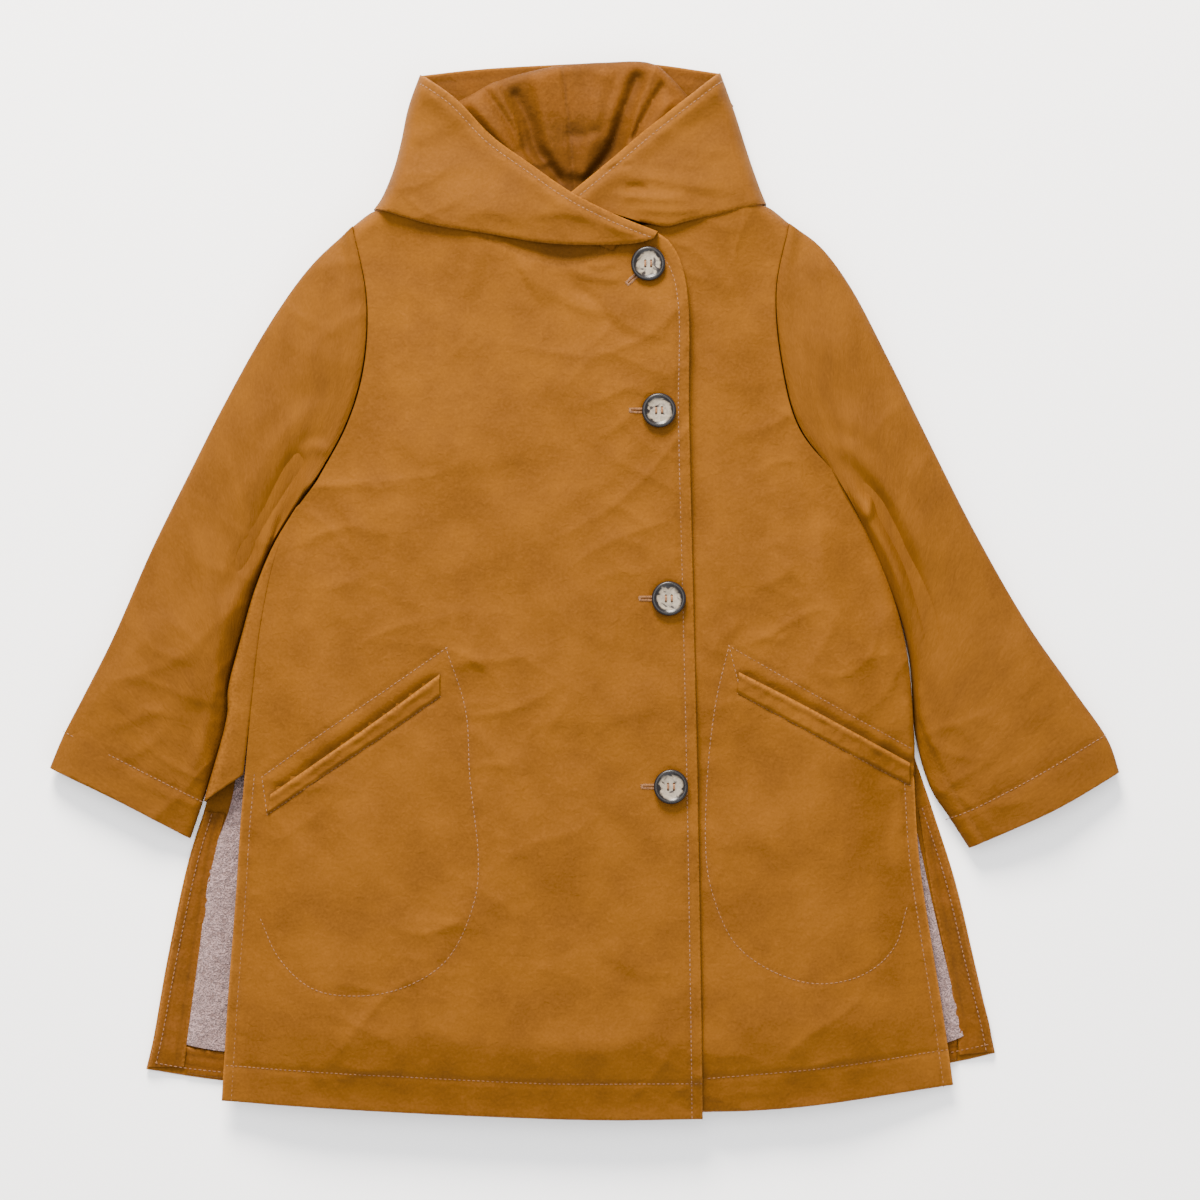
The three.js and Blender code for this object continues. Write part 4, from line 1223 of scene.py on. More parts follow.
@dataclass
class Back:
    """The back: outer cloth, side panel, fleece and turned edges."""

    finishes: Finishes
    shell: float = 2.4
    fleece_base: float = 3.0
    fleece_height: float = 5.6

    def outline(self) -> tuple[Line, Line, Line, Line]:
        """Four edges of the back's outer cloth: hem, top, right and left."""
        hem = spline([(-410, -447), (-337, -458), (-100, -468), (107, -473), (345, -441), (384, -432)], 120)
        top = spline([(-214, 338), (-150, 350), (0, 344), (140, 352), (189, 341)])
        right = joined(
            spline([(-410, -447), (-404, -422), (-390, -343), (-370, -250), (-355, -203)]), FLANK_RIGHT[4:],
            ARMHOLE_RIGHT, count=200,
        )
        left = joined(
            spline([(384, -432), (365, -348), (346, -269), (322, -194)]), FLANK_LEFT[6:], ARMHOLE_LEFT, count=200
        )
        return hem, top, right, left

    def lift(self, x: Grid, y: Grid) -> Grid:
        """Small waves at the edge of the back where it shows in the vents."""
        out = smooth(-330, -372, x) + smooth(325, 362, x)
        return 2.6 * out * smooth(-200, -300, y) * np.clip(0.6 + DRAPE.at(y / 60.0, x / 90.0), 0, 1.4)

    def build(self) -> None:
        """Build the back."""
        hem, top, right, left = self.outline()
        x, y = patch(hem, top, right, left, stations(120, 760), stations(144, 800))
        edge = nearest(x, y, joined(right[::-1], hem, left, count=300))[0]
        base = self.lift(x, y)
        z = self.shell + 0.4 + base + rounded(edge, 2.4, 1.2)
        # Edges painted paler: partly rubbing, partly painted highlight.
        piece = sheet_object(
            "back_cloth", stack(x, y, z), stack(x, y, np.maximum(base, 0.05)),
            marks=wear_and_light_marks(x, y, (hem, right, left), np.zeros_like(x)),
        )
        dressed(piece, self.finishes.outer, "outer_cloth", ["back_shell"])
        declare(piece, "laid")
        follow(piece, Follow.TORSO)
        self.pile_lining()
        self.turned_edges()
        self.side_panel()
        self.left_side()

    def pile_lining(self) -> None:
        """Build the fleece that lines the back."""
        low = spline([(-369, -424), (-337, -430), (-100, -440), (107, -445), (330, -424), (352, -416)])
        high = spline([(-186, 322), (-60, 326), (60, 326), (166, 322)])
        right = spline([(-372, -424), (-361, -343), (-348, -250), (-330, -196), (-318, -110), (-304, -46), (-280, 25),
                        (-238, 96), (-206, 160), (-192, 240), (-186, 322)], 120)
        left = spline([(354, -416), (338, -348), (320, -269), (304, -190), (296, -130), (288, -46), (262, 43),
                       (230, 98), (190, 150), (172, 206), (168, 270), (166, 322)], 120)
        x, y = patch(low, high, right, left, stations(232, 680), stations(264, 760))
        curl = pile(x, y)
        edge = np.minimum(nearest(x, y, right)[0], nearest(x, y, left)[0])
        base = self.lift(x, y)
        z = base + self.fleece_base + self.fleece_height * (0.62 + 0.42 * curl) * mix(0.55, 1, smooth(0, 7, edge))
        # Painted shade: the fleece is darker where its curls lie low.
        piece = sheet_object(
            "back_fleece", stack(x, y, z), stack(x, y, base + self.fleece_base + 0.1),
            marks={"shade": 0.55 - 0.55 * curl},
        )
        dressed(piece, self.finishes.fleece, "pile_lining", ["back_lining"])
        declare(piece, "laid")
        follow(piece, Follow.TORSO)

    def turned_edges(self) -> None:
        """Build the turned edges beside the vents and along the hem."""
        strips = {
            "back_vent_right_cloth": (
                "back_vent_facing_right",
                [(-408, -445), (-402, -420), (-388, -343), (-368, -250), (-355, -206)],
                [(-374, -445), (-371, -420), (-360, -343), (-345, -250), (-336, -208)],
            ),
            "back_vent_left_cloth": (
                "back_vent_facing_left",
                [(350, -434), (348, -412), (338, -348), (322, -269), (312, -204)],
                [(382, -431), (379, -408), (363, -348), (344, -269), (321, -200)],
            ),
            "back_hem_cloth": (
                "back_hem_facing",
                [(-372, -451), (-337, -456), (-100, -466), (107, -471), (310, -445), (348, -438)],
                [(-372, -426), (-337, -431), (-100, -441), (107, -446), (310, -424), (348, -419)],
            ),
        }
        for name, (node, one, two) in strips.items():
            a, b = spline(one, 100), spline(two, 100)
            along = 96 if node != "back_hem_facing" else 160
            x, y = patch(
                spaced(np.array([a[0], b[0]]), 8), spaced(np.array([a[-1], b[-1]]), 8), a, b,
                stations(16, 34, (0.6, 1.6)), stations(along, 250, (1.0, 3.0)),
            )
            edge = np.minimum(nearest(x, y, a)[0], nearest(x, y, b)[0])
            puff = 0.9 * DRAPE.at(x / 15.0, y / 15.0) * smooth(0, 8, edge)
            base = self.lift(x, y) + 3.1
            z = base + 2.6 + puff + rounded(edge, 2.5, 1.6)
            seam = np.exp(-(((edge - 7.5) / 1.4) ** 2))
            z = z - 0.8 * seam
            # Painted shade along the stitch groove; the rolled edges are painted paler, partly rubbing and partly
            # painted highlight.
            piece = sheet_object(
                name, stack(x, y, z), stack(x, y, base),
                marks={"wear_and_highlight": 0.8 * np.exp(-((edge / 1.5) ** 2)), "shade": 0.45 * seam},
            )
            dressed(piece, self.finishes.facing, "facing_cloth", [node])
            declare(piece, "stretched")
            follow(piece, Follow.TORSO)

    def side_panel(self) -> None:
        """Build the sliver of the back that wraps round the right side, down to the table."""
        seam = spline([(-317.5, -171), (-308.8, -101), (-299.8, -27), (-287.8, 29), (-274.4, 64), (-263, 82)], 100)
        edge = spline([(-355, -196), (-333, -116), (-332, -92), (-320.5, -46), (-307, 1), (-290, 42), (-269, 77)], 100)
        self.wrap("back_side_cloth", seam, edge, ["back_side_right"], 1.6)

    def left_side(self) -> None:
        """Build the left front's fold down to the back."""
        edge = spline([(308, -171), (307.6, -140), (298.6, -46), (270.6, 43), (244, 98)], 100)
        seam = edge - np.array([3.0, 0.0])
        self.wrap("left_flank_cloth", seam, edge, [], -1.0)

    def wrap(self, name: str, seam: Line, edge: Line, nodes: Sequence[str], under: float) -> None:
        """Build cloth that rolls from a seam over an edge and down to the table.

        Args:
            name: Name of the piece.
            seam: Line where it leaves the front.
            edge: Line that it reaches furthest out.
            nodes: Nodes that it stands for.
            under: How far it tucks under again, towards the seam.
        """
        rows, cols = 97, 25
        a, b = spaced(seam, rows), spaced(edge, rows)
        q = np.linspace(0.0, 1.0, cols)[None]
        reach = np.sin(np.minimum(q / 0.62, 1.0) * math.pi / 2)
        back = smooth(0.62, 1.0, q) * abs(under)
        x = a[:, :1] + (b - a)[:, :1] * reach + np.sign(under) * back
        y = a[:, 1:] + (b - a)[:, 1:] * reach
        ax, ay = np.broadcast_to(a[:, :1], x.shape), np.broadcast_to(a[:, 1:], x.shape)
        if name == "back_side_cloth":
            start = right_surface(ax, ay)[0] - 0.8
        else:
            start = left_surface(ax, ay)[0] - 1.2
        fall = 1.0 - np.clip(q, 0, 1) ** 2.3
        z = 3.4 + (start - 3.4) * fall + 1.0 * PUCKER.at(y / 17.0, q * 1.2) * smooth(0, 0.3, q) * smooth(1, 0.7, q)
        fine = stack(x, y, z)
        n = normals(fine)
        out = np.sign((b - a)[rows // 2, 0])
        n = np.where((n[..., :1] * out + n[..., 2:]) < 0, -n, n)
        inner = fine - 1.5 * n
        inner[..., 2] = np.maximum(inner[..., 2], 2.9)
        # The crest of the roll is painted paler, partly rubbing and partly painted highlight; painted shade where the
        # cloth leaves the front.
        piece = sheet_object(
            name, fine, inner,
            marks={"wear_and_highlight": 0.5 * np.exp(-((q - 0.4) / 0.12) ** 2) * np.ones_like(x), "shade": 0.3 * np.exp(-((q / 0.06) ** 2)) * np.ones_like(x)},
        )
        dressed(piece, self.finishes.outer, "outer_cloth", nodes)
        declare(piece, "folded")
        follow(piece, Follow.TORSO)


@dataclass
class Sleeve:
    """One sleeve, lying flat beside the body: shell, fleece and turned cuff."""

    finishes: Finishes
    side: Side
    rings: int = 176
    around: int = 128
    wall: float = 2.4
    fleece: float = 4.6
    painted_shade: float = 0.17  # Painted shade: the sleeve cloth is painted darker than the fronts.

    def lines(self) -> tuple[Line, Line, Line, Line]:
        """Armhole, cuff, outer edge and inner edge."""
        if self.side is Side.RIGHT:
            return offset_line(ARMHOLE_RIGHT, -2.6)[::-1], CUFF_RIGHT, SLEEVE_OUTER_RIGHT, SLEEVE_INNER_RIGHT
        return offset_line(ARMHOLE_LEFT, 2.6)[::-1], CUFF_LEFT, SLEEVE_OUTER_LEFT, SLEEVE_INNER_LEFT

    def creases(self) -> tuple[Crease, ...]:
        """Folds that run down from the armpit."""
        if self.side is Side.RIGHT:
            return (
                Crease(((-252, 112), (-268, 72), (-290, 42), (-316, -10)), 3.2, 9, 1.5),
                Crease(((-246, 130), (-286, 70), (-330, -30), (-352, -120)), 3.0, 15, 1.6),
                Crease(((-232, 150), (-262, 128), (-300, 60), (-340, -20)), -3.4, 12),
                Crease(((-226, 165), (-250, 170), (-290, 130), (-330, 60)), 2.4, 14, 1.8),
                Crease(((-236, 128), (-252, 134), (-268, 122)), 2.2, 7, 1.4),
                Crease(((-335, -60), (-352, -130), (-372, -190)), 2.4, 10, 1.6),
                Crease(((-226, 250), (-262, 200), (-330, 120)), 1.5, 22, 2.0),
                Crease(((-400, -10), (-420, -70), (-440, -130)), 1.6, 18, 1.7),
                Crease(((-370, 60), (-350, 10), (-362, -50)), 1.5, 16, 1.6),
            )
        return (
            Crease(((238, 118), (256, 78), (284, 30), (304, -40)), 3.4, 9, 1.5),
            Crease(((226, 132), (262, 96), (288, 50), (318, -20), (330, -90)), -3.6, 11),
            Crease(((214, 146), (252, 128), (292, 82), (332, 0)), 3.0, 13, 1.7),
            Crease(((204, 160), (240, 160), (290, 124), (340, 50)), 2.2, 14, 1.8),
            Crease(((258, 66), (266, 76), (262, 92)), 2.6, 6, 1.4),
            Crease(((296, -66), (316, -122), (346, -190)), 2.2, 9, 1.5),
            Crease(((200, 260), (250, 200), (310, 120)), 1.4, 20, 2.0),
            Crease(((390, -20), (404, -80), (430, -150)), 1.6, 18, 1.7),
        )

    def height(self, x: Grid, y: Grid, s: Grid, t: Grid) -> Grid:
        """Height of the sleeve's upper side, before its edges roll."""
        lying = mix(35.0, 28.5, smooth(0, 1, t)) * mix(1.0, 0.62, smooth(0.55, 1.0, s) * smooth(0.1, 0.25, t) * (1 - 0.5 * smooth(0.6, 0.9, t)))
        seam = BODY.right(x, y) if self.side is Side.RIGHT else BODY.left(x, y)
        body = np.clip(seam, 16, 40) - 1.0
        head = mix(body - 1.6, body + 1.2, smooth(2.0, 11.0, nearest(x, y, self.lines()[0])[0]))
        return mix(head, lying, smooth(0.0, 0.22, t))

    def tube(self, inset: float, low: float, grow: float, first: float, last: float, rings: int, around: int) -> tuple:
        """Surface of the flat tube, pulled in by an inset.

        Args:
            inset: Distance inside the outer cloth.
            low: Height of the underside.
            grow: Extra height of curls, 0 on smooth cloth.
            first: Share of the length where it starts.
            last: Share of the length where it ends.
            rings: Cells along.
            around: Cells round.

        Returns:
            Points, flat places and the shares across and along.
        """
        armhole, cuff, outer, inner = self.lines()
        t = first + (last - first) * stations(rings, 560)
        angle = np.linspace(0.0, 2.0 * math.pi, around + 1)
        share = 0.5 - 0.5 * np.cos(angle)
        s_fine = np.linspace(0.0, 1.0, 101)
        gx, gy = patch(armhole, cuff, outer, inner, s_fine, t)
        width = np.hypot(gx[:, -1] - gx[:, 0], gy[:, -1] - gy[:, 0])
        near = np.clip(inset / width, 0, 0.45)[:, None]
        s = near + (1 - 2 * near) * share[None]
        row = np.arange(len(t))[:, None]
        pos = s * 100
        i = np.clip(pos.astype(int), 0, 99)
        f = pos - i
        x = mix(gx[row, i], gx[row, i + 1], f)
        y = mix(gy[row, i], gy[row, i + 1], f)
        tt = np.broadcast_to(t[:, None], x.shape)
        up = np.sin(angle)[None]
        top = self.height(x, y, s, tt) - inset
        if inset < 1.0:
            fold = BODY.folds(x * 0.9 + 400, y + 300) * 1.15 + 1.9 * creased(x, y, self.creases())
            seam_line, mask = grooved(x, y, self.seams(), 1.1, 2.4)
            top = top + (fold + seam_line) * smooth(0.1, 0.5, up)
            end = np.minimum((1 - tt) * 560, 40)
            top = top + rounded(end, 3.0, 1.6) + rounded(tt * 560, 2.2, 0.7)
        else:
            mask = np.zeros_like(x)
        middle = mix(low, top, 0.42)
        profile = np.abs(up) ** 0.5
        z = np.where(up >= 0, middle + (top - middle) * profile, middle - (middle - low) * np.abs(up) ** 0.42)
        sewn = smooth(18.0, 4.0, nearest(x, y, armhole)[0]) * smooth(0.02, 0.14, up)
        z = mix(z, top, sewn)
        if grow:
            z = z - np.sign(up) * grow * pile(x * 1.0, y * 1.0) * smooth(0.1, 0.5, np.abs(up))
        flat = np.stack([angle[None] / (2 * math.pi) * 2 * width[:, None], tt * 560], -1)
        return stack(x, y, z), flat, s, tt, mask * (up > 0)

    def seams(self) -> tuple[Line, ...]:
        """Stitched lines and seams on the upper side."""
        if self.side is Side.RIGHT:
            return (spline([(-486, -131), (-424, -162), (-358, -196)]),)
        return (
            spline([(486, -134), (423, -171), (358, -205), (338, -213)]),
            spline([(300, -60), (313, -126), (340, -180), (373, -233)]),
        )

    def build(self) -> None:
        """Build the sleeve."""
        name = self.side.value
        how = Follow(f"sleeve_{name}")
        outer, flat, s, t, mask = self.tube(0.0, 0.15, 0.0, 0.0, 1.0, self.rings, self.around)
        inner = self.tube(self.wall, 0.15 + self.wall * 0.8, 0.0, 0.0, 1.0, self.rings, self.around)[0]
        # Painted shade over the whole sleeve, in its seams and at the armhole; the cuff edge and seams painted paler,
        # partly rubbing and partly painted highlight.
        marks = {
            "wear_and_highlight": np.clip(0.85 * np.exp(-(((1 - t) * 560 / 1.8) ** 2)) + 0.25 * mask
                            + 0.2 * np.exp(-((t * 560 / 1.5) ** 2)), 0, 1),
            "shade": np.clip(self.painted_shade + 0.5 * mask + 0.2 * np.exp(-((t * 560 / 1.5) ** 2)), 0, 1),
        }
        piece = sheet_object(f"sleeve_{name}_cloth", outer, inner, flat=flat, marks=marks, close=True)
        dressed(piece, self.finishes.outer, "outer_cloth", [f"sleeve_shell_{name}"])
        declare(piece, "laid", flat=(0.50, 0.58))
        follow(piece, how)
        gap = self.wall + 0.8
        curly, flat, *_ = self.tube(gap + self.fleece, gap + self.fleece - 0.6, -1.4, 0.05, 0.94, 120, 96)
        cover = self.tube(gap, gap, 0.0, 0.05, 0.94, 120, 96)[0]
        piece = sheet_object(f"sleeve_{name}_fleece", curly, cover, flat=flat, close=True)
        dressed(piece, self.finishes.fleece, "pile_lining", [f"sleeve_lining_{name}"])
        declare(piece, "laid", flat=(0.46, 0.52))
        follow(piece, how)
        turned, flat, *_ = self.tube(gap + 1.5, gap + 1.2, 0.0, 0.945, 0.995, 16, 96)
        cover = self.tube(gap, gap - 0.2, 0.0, 0.945, 0.995, 16, 96)[0]
        piece = sheet_object(f"cuff_{name}_cloth", turned, cover, flat=flat, close=True)
        dressed(piece, self.finishes.facing, "facing_cloth", [f"cuff_facing_{name}"])
        declare(piece, "stretched", flat=(0.31, 0.034))
        follow(piece, how)


def offset_line(line: Line, distance: float) -> Line:
    """Move a line sideways, to its left where the distance is positive."""
    step = np.gradient(line[:, :2], axis=0)
    step /= np.maximum(np.linalg.norm(step, axis=1, keepdims=True), 1e-9)
    return line[:, :2] + distance * np.stack([-step[:, 1], step[:, 0]], 1)


@dataclass
class Hood:
    """The hood, folded flat over the shoulders: back, gathered crown, crossed wings and their facings."""

    finishes: Finishes
    thickness: float = 5.0
    low: float = 7.0
    stitch_inset: float = 8.0
    fold_radius: float = 15.0
    # Painted shade: the wings are painted darker than the fronts.
    painted_shade: float = 0.16
    v_right: Line = field(default_factory=lambda: spline(
        [(-154, 482), (-120, 458), (-86, 423), (-51, 397), (-16, 372), (9, 358), (37, 345), (68, 333)], 140))
    v_left: Line = field(default_factory=lambda: spline(
        [(-20, 364), (-9, 373), (22, 399), (59, 431), (104, 466), (127, 484)], 120))
    outer_right: Line = field(default_factory=lambda: spline(
        [(-197, 356), (-190, 366), (-179, 392), (-172, 418), (-165, 451), (-154, 482)], 60))
    outer_left: Line = field(default_factory=lambda: spline(
        [(170, 361), (165, 373), (154, 404), (141, 445), (127, 484)], 60))
    neck_right: Line = field(default_factory=lambda: spline(
        [(-197, 356), (-140, 339), (-91, 331), (-36, 322), (9, 320), (50, 322), (64, 326)], 120))
    neck_left: Line = field(default_factory=lambda: spline(
        [(52, 342), (77, 338), (92, 342), (121, 349), (170, 361)], 100))
    mouth: Line = field(default_factory=lambda: spline(
        [(-154, 482), (-100, 488), (-35, 492), (20, 494), (62, 493), (127, 484)], 120))

    def wing_height(self, side: Side, x: Grid, y: Grid) -> tuple[Grid, Grid]:
        """Upper side of a wing and the mask of its topstitch."""
        right = side is Side.RIGHT
        body = (BODY.right if right else BODY.left)(np.clip(x, -150, 150), np.minimum(y, 335))
        z = mix(body + (7.4 if right else 6.6), 37.0 if right else 34.0, smooth(345, 440, y))
        v, outer = (self.v_right, self.outer_right) if right else (self.v_left, self.outer_left)
        neck = self.neck_right if right else self.neck_left
        dv, do, dn = (nearest(x, y, line)[0] for line in (v, outer, neck))
        z = z + 3.4 * np.exp(-(((dv - 12) / 10) ** 2))
        fold = BODY.folds(x * 1.1 + (0 if right else 500), y * 1.1 + 700)
        z = z + 0.85 * fold * smooth(0, 14, dv)
        z = z + creased(x, y, self.creases(side))
        stitch = offset_line(v, -self.stitch_inset if right else -self.stitch_inset)
        groove, mask = grooved(x, y, (stitch,), 1.2, 2.3)
        z = z + groove + rounded(dv, 5.0, 5.5) + rounded(dn, 4.0, 3.0)
        z = z + rounded(do, self.fold_radius, np.maximum(z - self.low, 0.0))
        return z, mask

    def creases(self, side: Side) -> tuple[Crease, ...]:
        """Folds of one wing."""
        if side is Side.RIGHT:
            return (
                Crease(((-186, 366), (-150, 384), (-110, 396), (-60, 380)), 1.6, 14, 1.8),
                Crease(((-170, 420), (-140, 425), (-112, 440)), 1.3, 10, 1.6),
                Crease(((-60, 345), (-20, 350), (20, 340)), 1.7, 8, 1.6),
                Crease(((-120, 345), (-90, 352), (-50, 338)), 1.5, 9, 1.6),
                Crease(((10, 350), (30, 335), (56, 330)), 1.4, 6, 1.5),
            )
        return (
            Crease(((10, 378), (50, 384), (100, 376), (150, 372)), 2.8, 9, 1.9),
            Crease(((20, 368), (60, 364), (110, 362)), 2.4, 7, 1.7),
            Crease(((40, 356), (80, 352), (120, 356)), 1.8, 6, 1.6),
            Crease(((6, 384), (26, 392), (50, 396)), -2.0, 5),
            Crease(((36, 372), (48, 374), (60, 370)), -2.4, 6),
            Crease(((70, 420), (110, 410), (146, 412)), 1.6, 13, 1.8),
            Crease(((50, 400), (84, 398), (120, 392)), 1.4, 9, 1.7),
        )

    def wing(self, side: Side) -> None:
        """Build one wing and the facing under its rolled edge."""
        right = side is Side.RIGHT
        if right:
            lines = (self.neck_right, self.v_right, self.outer_right, spline([(64, 326), (68, 333)], 8))
        else:
            lines = (self.neck_left, self.v_left, spline([(52, 342), (-20, 364)], 12), self.outer_left)
        x, y = patch(*lines, stations(124, 270), stations(84, 130))
        z, mask = self.wing_height(side, x, y)
        v = self.v_right if right else self.v_left
        edge = nearest(x, y, v)[0]
        bottom = np.maximum(z - self.thickness, 1.5)
        # Edges painted paler, partly rubbing and partly painted highlight; painted shade along the topstitch and over
        # the whole wing.
        marks = wear_and_light_marks(x, y, (v, self.neck_right if right else self.neck_left), mask)
        marks["shade"] = np.clip(marks["shade"] + self.painted_shade, 0, 1)
        piece = sheet_object(f"hood_wing_{side.value}_cloth", stack(x, y, z), stack(x, y, bottom), marks=marks)
        dressed(piece, self.finishes.outer, "outer_cloth",
                [f"hood_wing_{side.value}", f"hood_corner_{side.value}"])
        declare(piece, "folded")
        follow(piece, Follow(side.front))
        # The facing shows as a second edge just inside the roll.
        kept = slice(6, -16 if right else -6)  # The right one stops short of the top button.
        inside = offset_line(v, -1.6)[kept]
        deep = offset_line(v, -32.0)[kept]
        x, y = patch(spaced(np.array([deep[0], inside[0]]), 8), spaced(np.array([deep[-1], inside[-1]]), 8),
                     deep, inside, stations(12, 30, (0.5, 1.5)), stations(96, 260, (1.0, 3.0)))
        z = self.wing_height(side, x, y)[0] - self.thickness - 0.3
        z = np.maximum(z, 3.0)
        piece = sheet_object(f"hood_wing_{side.value}_facing", stack(x, y, z - 1.4), stack(x, y, z))
        dressed(piece, self.finishes.facing, "facing_cloth", [f"hood_wing_facing_{side.value}"])
        declare(piece, "folded")
        follow(piece, Follow(side.front))

    def crown_height(self, x: Grid, y: Grid) -> Grid:
        """Inside of the crown: two lobes above a hollow middle with a seam."""
        z = 21.0 + 3.0 * DRAPE.layered(x, y, 60, 2) - 7.0 * smooth(450, 372, y)
        left = spline([(-80, 478), (-62, 440), (-50, 400), (-22, 372)], 30)
        right = spline([(63, 493), (46, 452), (32, 408), (0, 374)], 30)
        dl, al, sl = nearest(x, y, left)
        dr, ar, sr = nearest(x, y, right)
        z = z + 7.5 * np.where(sl < 0, smooth(-0.5, 5.0, dl) * np.exp(-((dl / 46.0) ** 2)), 0.0) * smooth(0, 0.2, 1 - al)
        z = z + 7.5 * np.where(sr > 0, smooth(-0.5, 5.0, dr) * np.exp(-((dr / 46.0) ** 2)), 0.0) * smooth(0, 0.2, 1 - ar)
        pleats = (
            Crease(((-112, 462), (-84, 430), (-56, 396), (-24, 376)), 3.6, 8, 1.8, 0.12),
            Crease(((-96, 470), (-74, 440), (-54, 404)), -2.6, 5, 1.0, 0.12),
            Crease(((-46, 486), (-40, 450), (-30, 410), (-14, 380)), 2.6, 9, 1.6, 0.1),
            Crease(((-70, 470), (-54, 440), (-44, 410), (-18, 378)), -3.4, 6, 1.6, 0.1),
            Crease(((20, 490), (12, 450), (4, 410), (-6, 380)), 2.8, 11, 1.5, 0.1),
            Crease(((52, 488), (38, 450), (24, 412), (-2, 378)), -3.6, 6, 1.5, 0.1),
            Crease(((40, 490), (28, 455), (18, 415)), 1.6, 5, 1.5, 0.15),
            Crease(((84, 462), (62, 430), (40, 402), (10, 380)), 3.4, 8, 1.6, 0.12),
            Crease(((76, 476), (58, 446), (42, 414)), -2.4, 5, 1.0, 0.12),
            Crease(((-22, 430), (-2, 424), (18, 432)), -1.6, 7, 1.4),
            Crease(((-60, 404), (-42, 398), (-30, 404)), 1.8, 5, 1.4),
        )
        z = z + creased(x, y, pleats)
        seam = spline([(-21, 490), (-14, 430), (-9, 373)], 40)
        z = z + 0.7 * creased(x, y, pleats)
        return z - 1.6 * np.exp(-((nearest(x, y, seam)[0] / 1.7) ** 2)) + 0.5 * CRINKLE.layered(x, y, 16, 2)

    def crown(self) -> None:
        """Build the crown that shows in the opening."""
        low = spline([(-70, 362), (-30, 352), (10, 352), (60, 362)], 60)
        high = spline([(-128, 452), (-108, 462), (-80, 477), (-28, 490), (20, 494), (62, 493), (78, 482), (102, 456)], 120)
        left = spline([(-70, 362), (-106, 400), (-128, 452)], 60)
        right = spline([(60, 362), (86, 400), (102, 456)], 60)
        x, y = patch(low, high, left, right, stations(112, 200), stations(72, 125))
        z = self.crown_height(x, y)
        edge = nearest(x, y, high)[0]
        z = z + rounded(edge, 9.0, 13.0)
        seam = np.exp(-((nearest(x, y, spline([(-21, 490), (-14, 430), (-9, 373)], 40))[0] / 1.3) ** 2))
        # Painted shade in the crown's seam, in its low places and towards the neck; the seam ridge is painted a little
        # paler.
        deep = smooth(470, 380, y) * 0.4 + np.clip((24.0 - z) / 14.0, 0, 0.5)
        marks = {"wear_and_highlight": 0.15 * seam, "shade": np.clip(0.8 * seam + deep, 0, 1)}
        piece = sheet_object("hood_crown_cloth", stack(x, y, z), stack(x, y, np.maximum(z - 3.0, 7.5)), marks=marks)
        dressed(piece, self.finishes.facing, "facing_cloth", ["hood_crown", "hood_pleat_right", "hood_pleat_left"])
        declare(piece, "folded", flat=(0.34, 0.26))
        follow(piece, Follow.TORSO)

    def back(self) -> None:
        """Build the hood's outer back and its inner layer."""
        low = spline([(-196, 357), (-118, 352), (0, 346), (118, 352), (169, 362)], 100)
        for name, node, finish, slot, inset, z0, z1 in (
            ("back_hood_cloth", "hood_back", self.finishes.outer, "outer_cloth", 0.0, 0.05, 3.2),
            ("hood_inner_cloth", "hood_back_lining", self.finishes.facing, "facing_cloth", 2.2, 3.6, 6.4),
        ):
            x, y = patch(low, self.mouth, self.outer_right, self.outer_left, stations(112, 330), stations(48, 130))
            mx, my = -10.0, 420.0
            x = mx + (x - mx) * (1 - inset / 140)
            y = my + (y - my) * (1 - inset / 66)
            edge = np.minimum(nearest(x, y, self.mouth)[0], np.minimum(
                nearest(x, y, self.outer_right)[0], nearest(x, y, self.outer_left)[0]))
            stitch = np.exp(-(((edge - self.stitch_inset) / 1.4) ** 2))
            wave = 0.5 * DRAPE.at(x / 24, y / 24)
            z = z1 + (wave - 0.8 * stitch) * (z0 > 1) + rounded(edge, 2.0, 1.0)
            # Painted shade along the topstitch; the edges are painted paler, partly rubbing and partly painted
            # highlight.
            piece = sheet_object(
                name, stack(x, y, z), stack(x, y, z0),
                marks={"wear_and_highlight": 0.7 * np.exp(-((edge / 1.4) ** 2)), "shade": 0.5 * stitch},
            )
            dressed(piece, finish, slot, [node])
            declare(piece, "laid" if z0 < 1 else "folded")
            follow(piece, Follow.TORSO)

    def build(self) -> None:
        """Build the hood."""
        self.back()
        self.crown()
        for side in Side:
            self.wing(side)


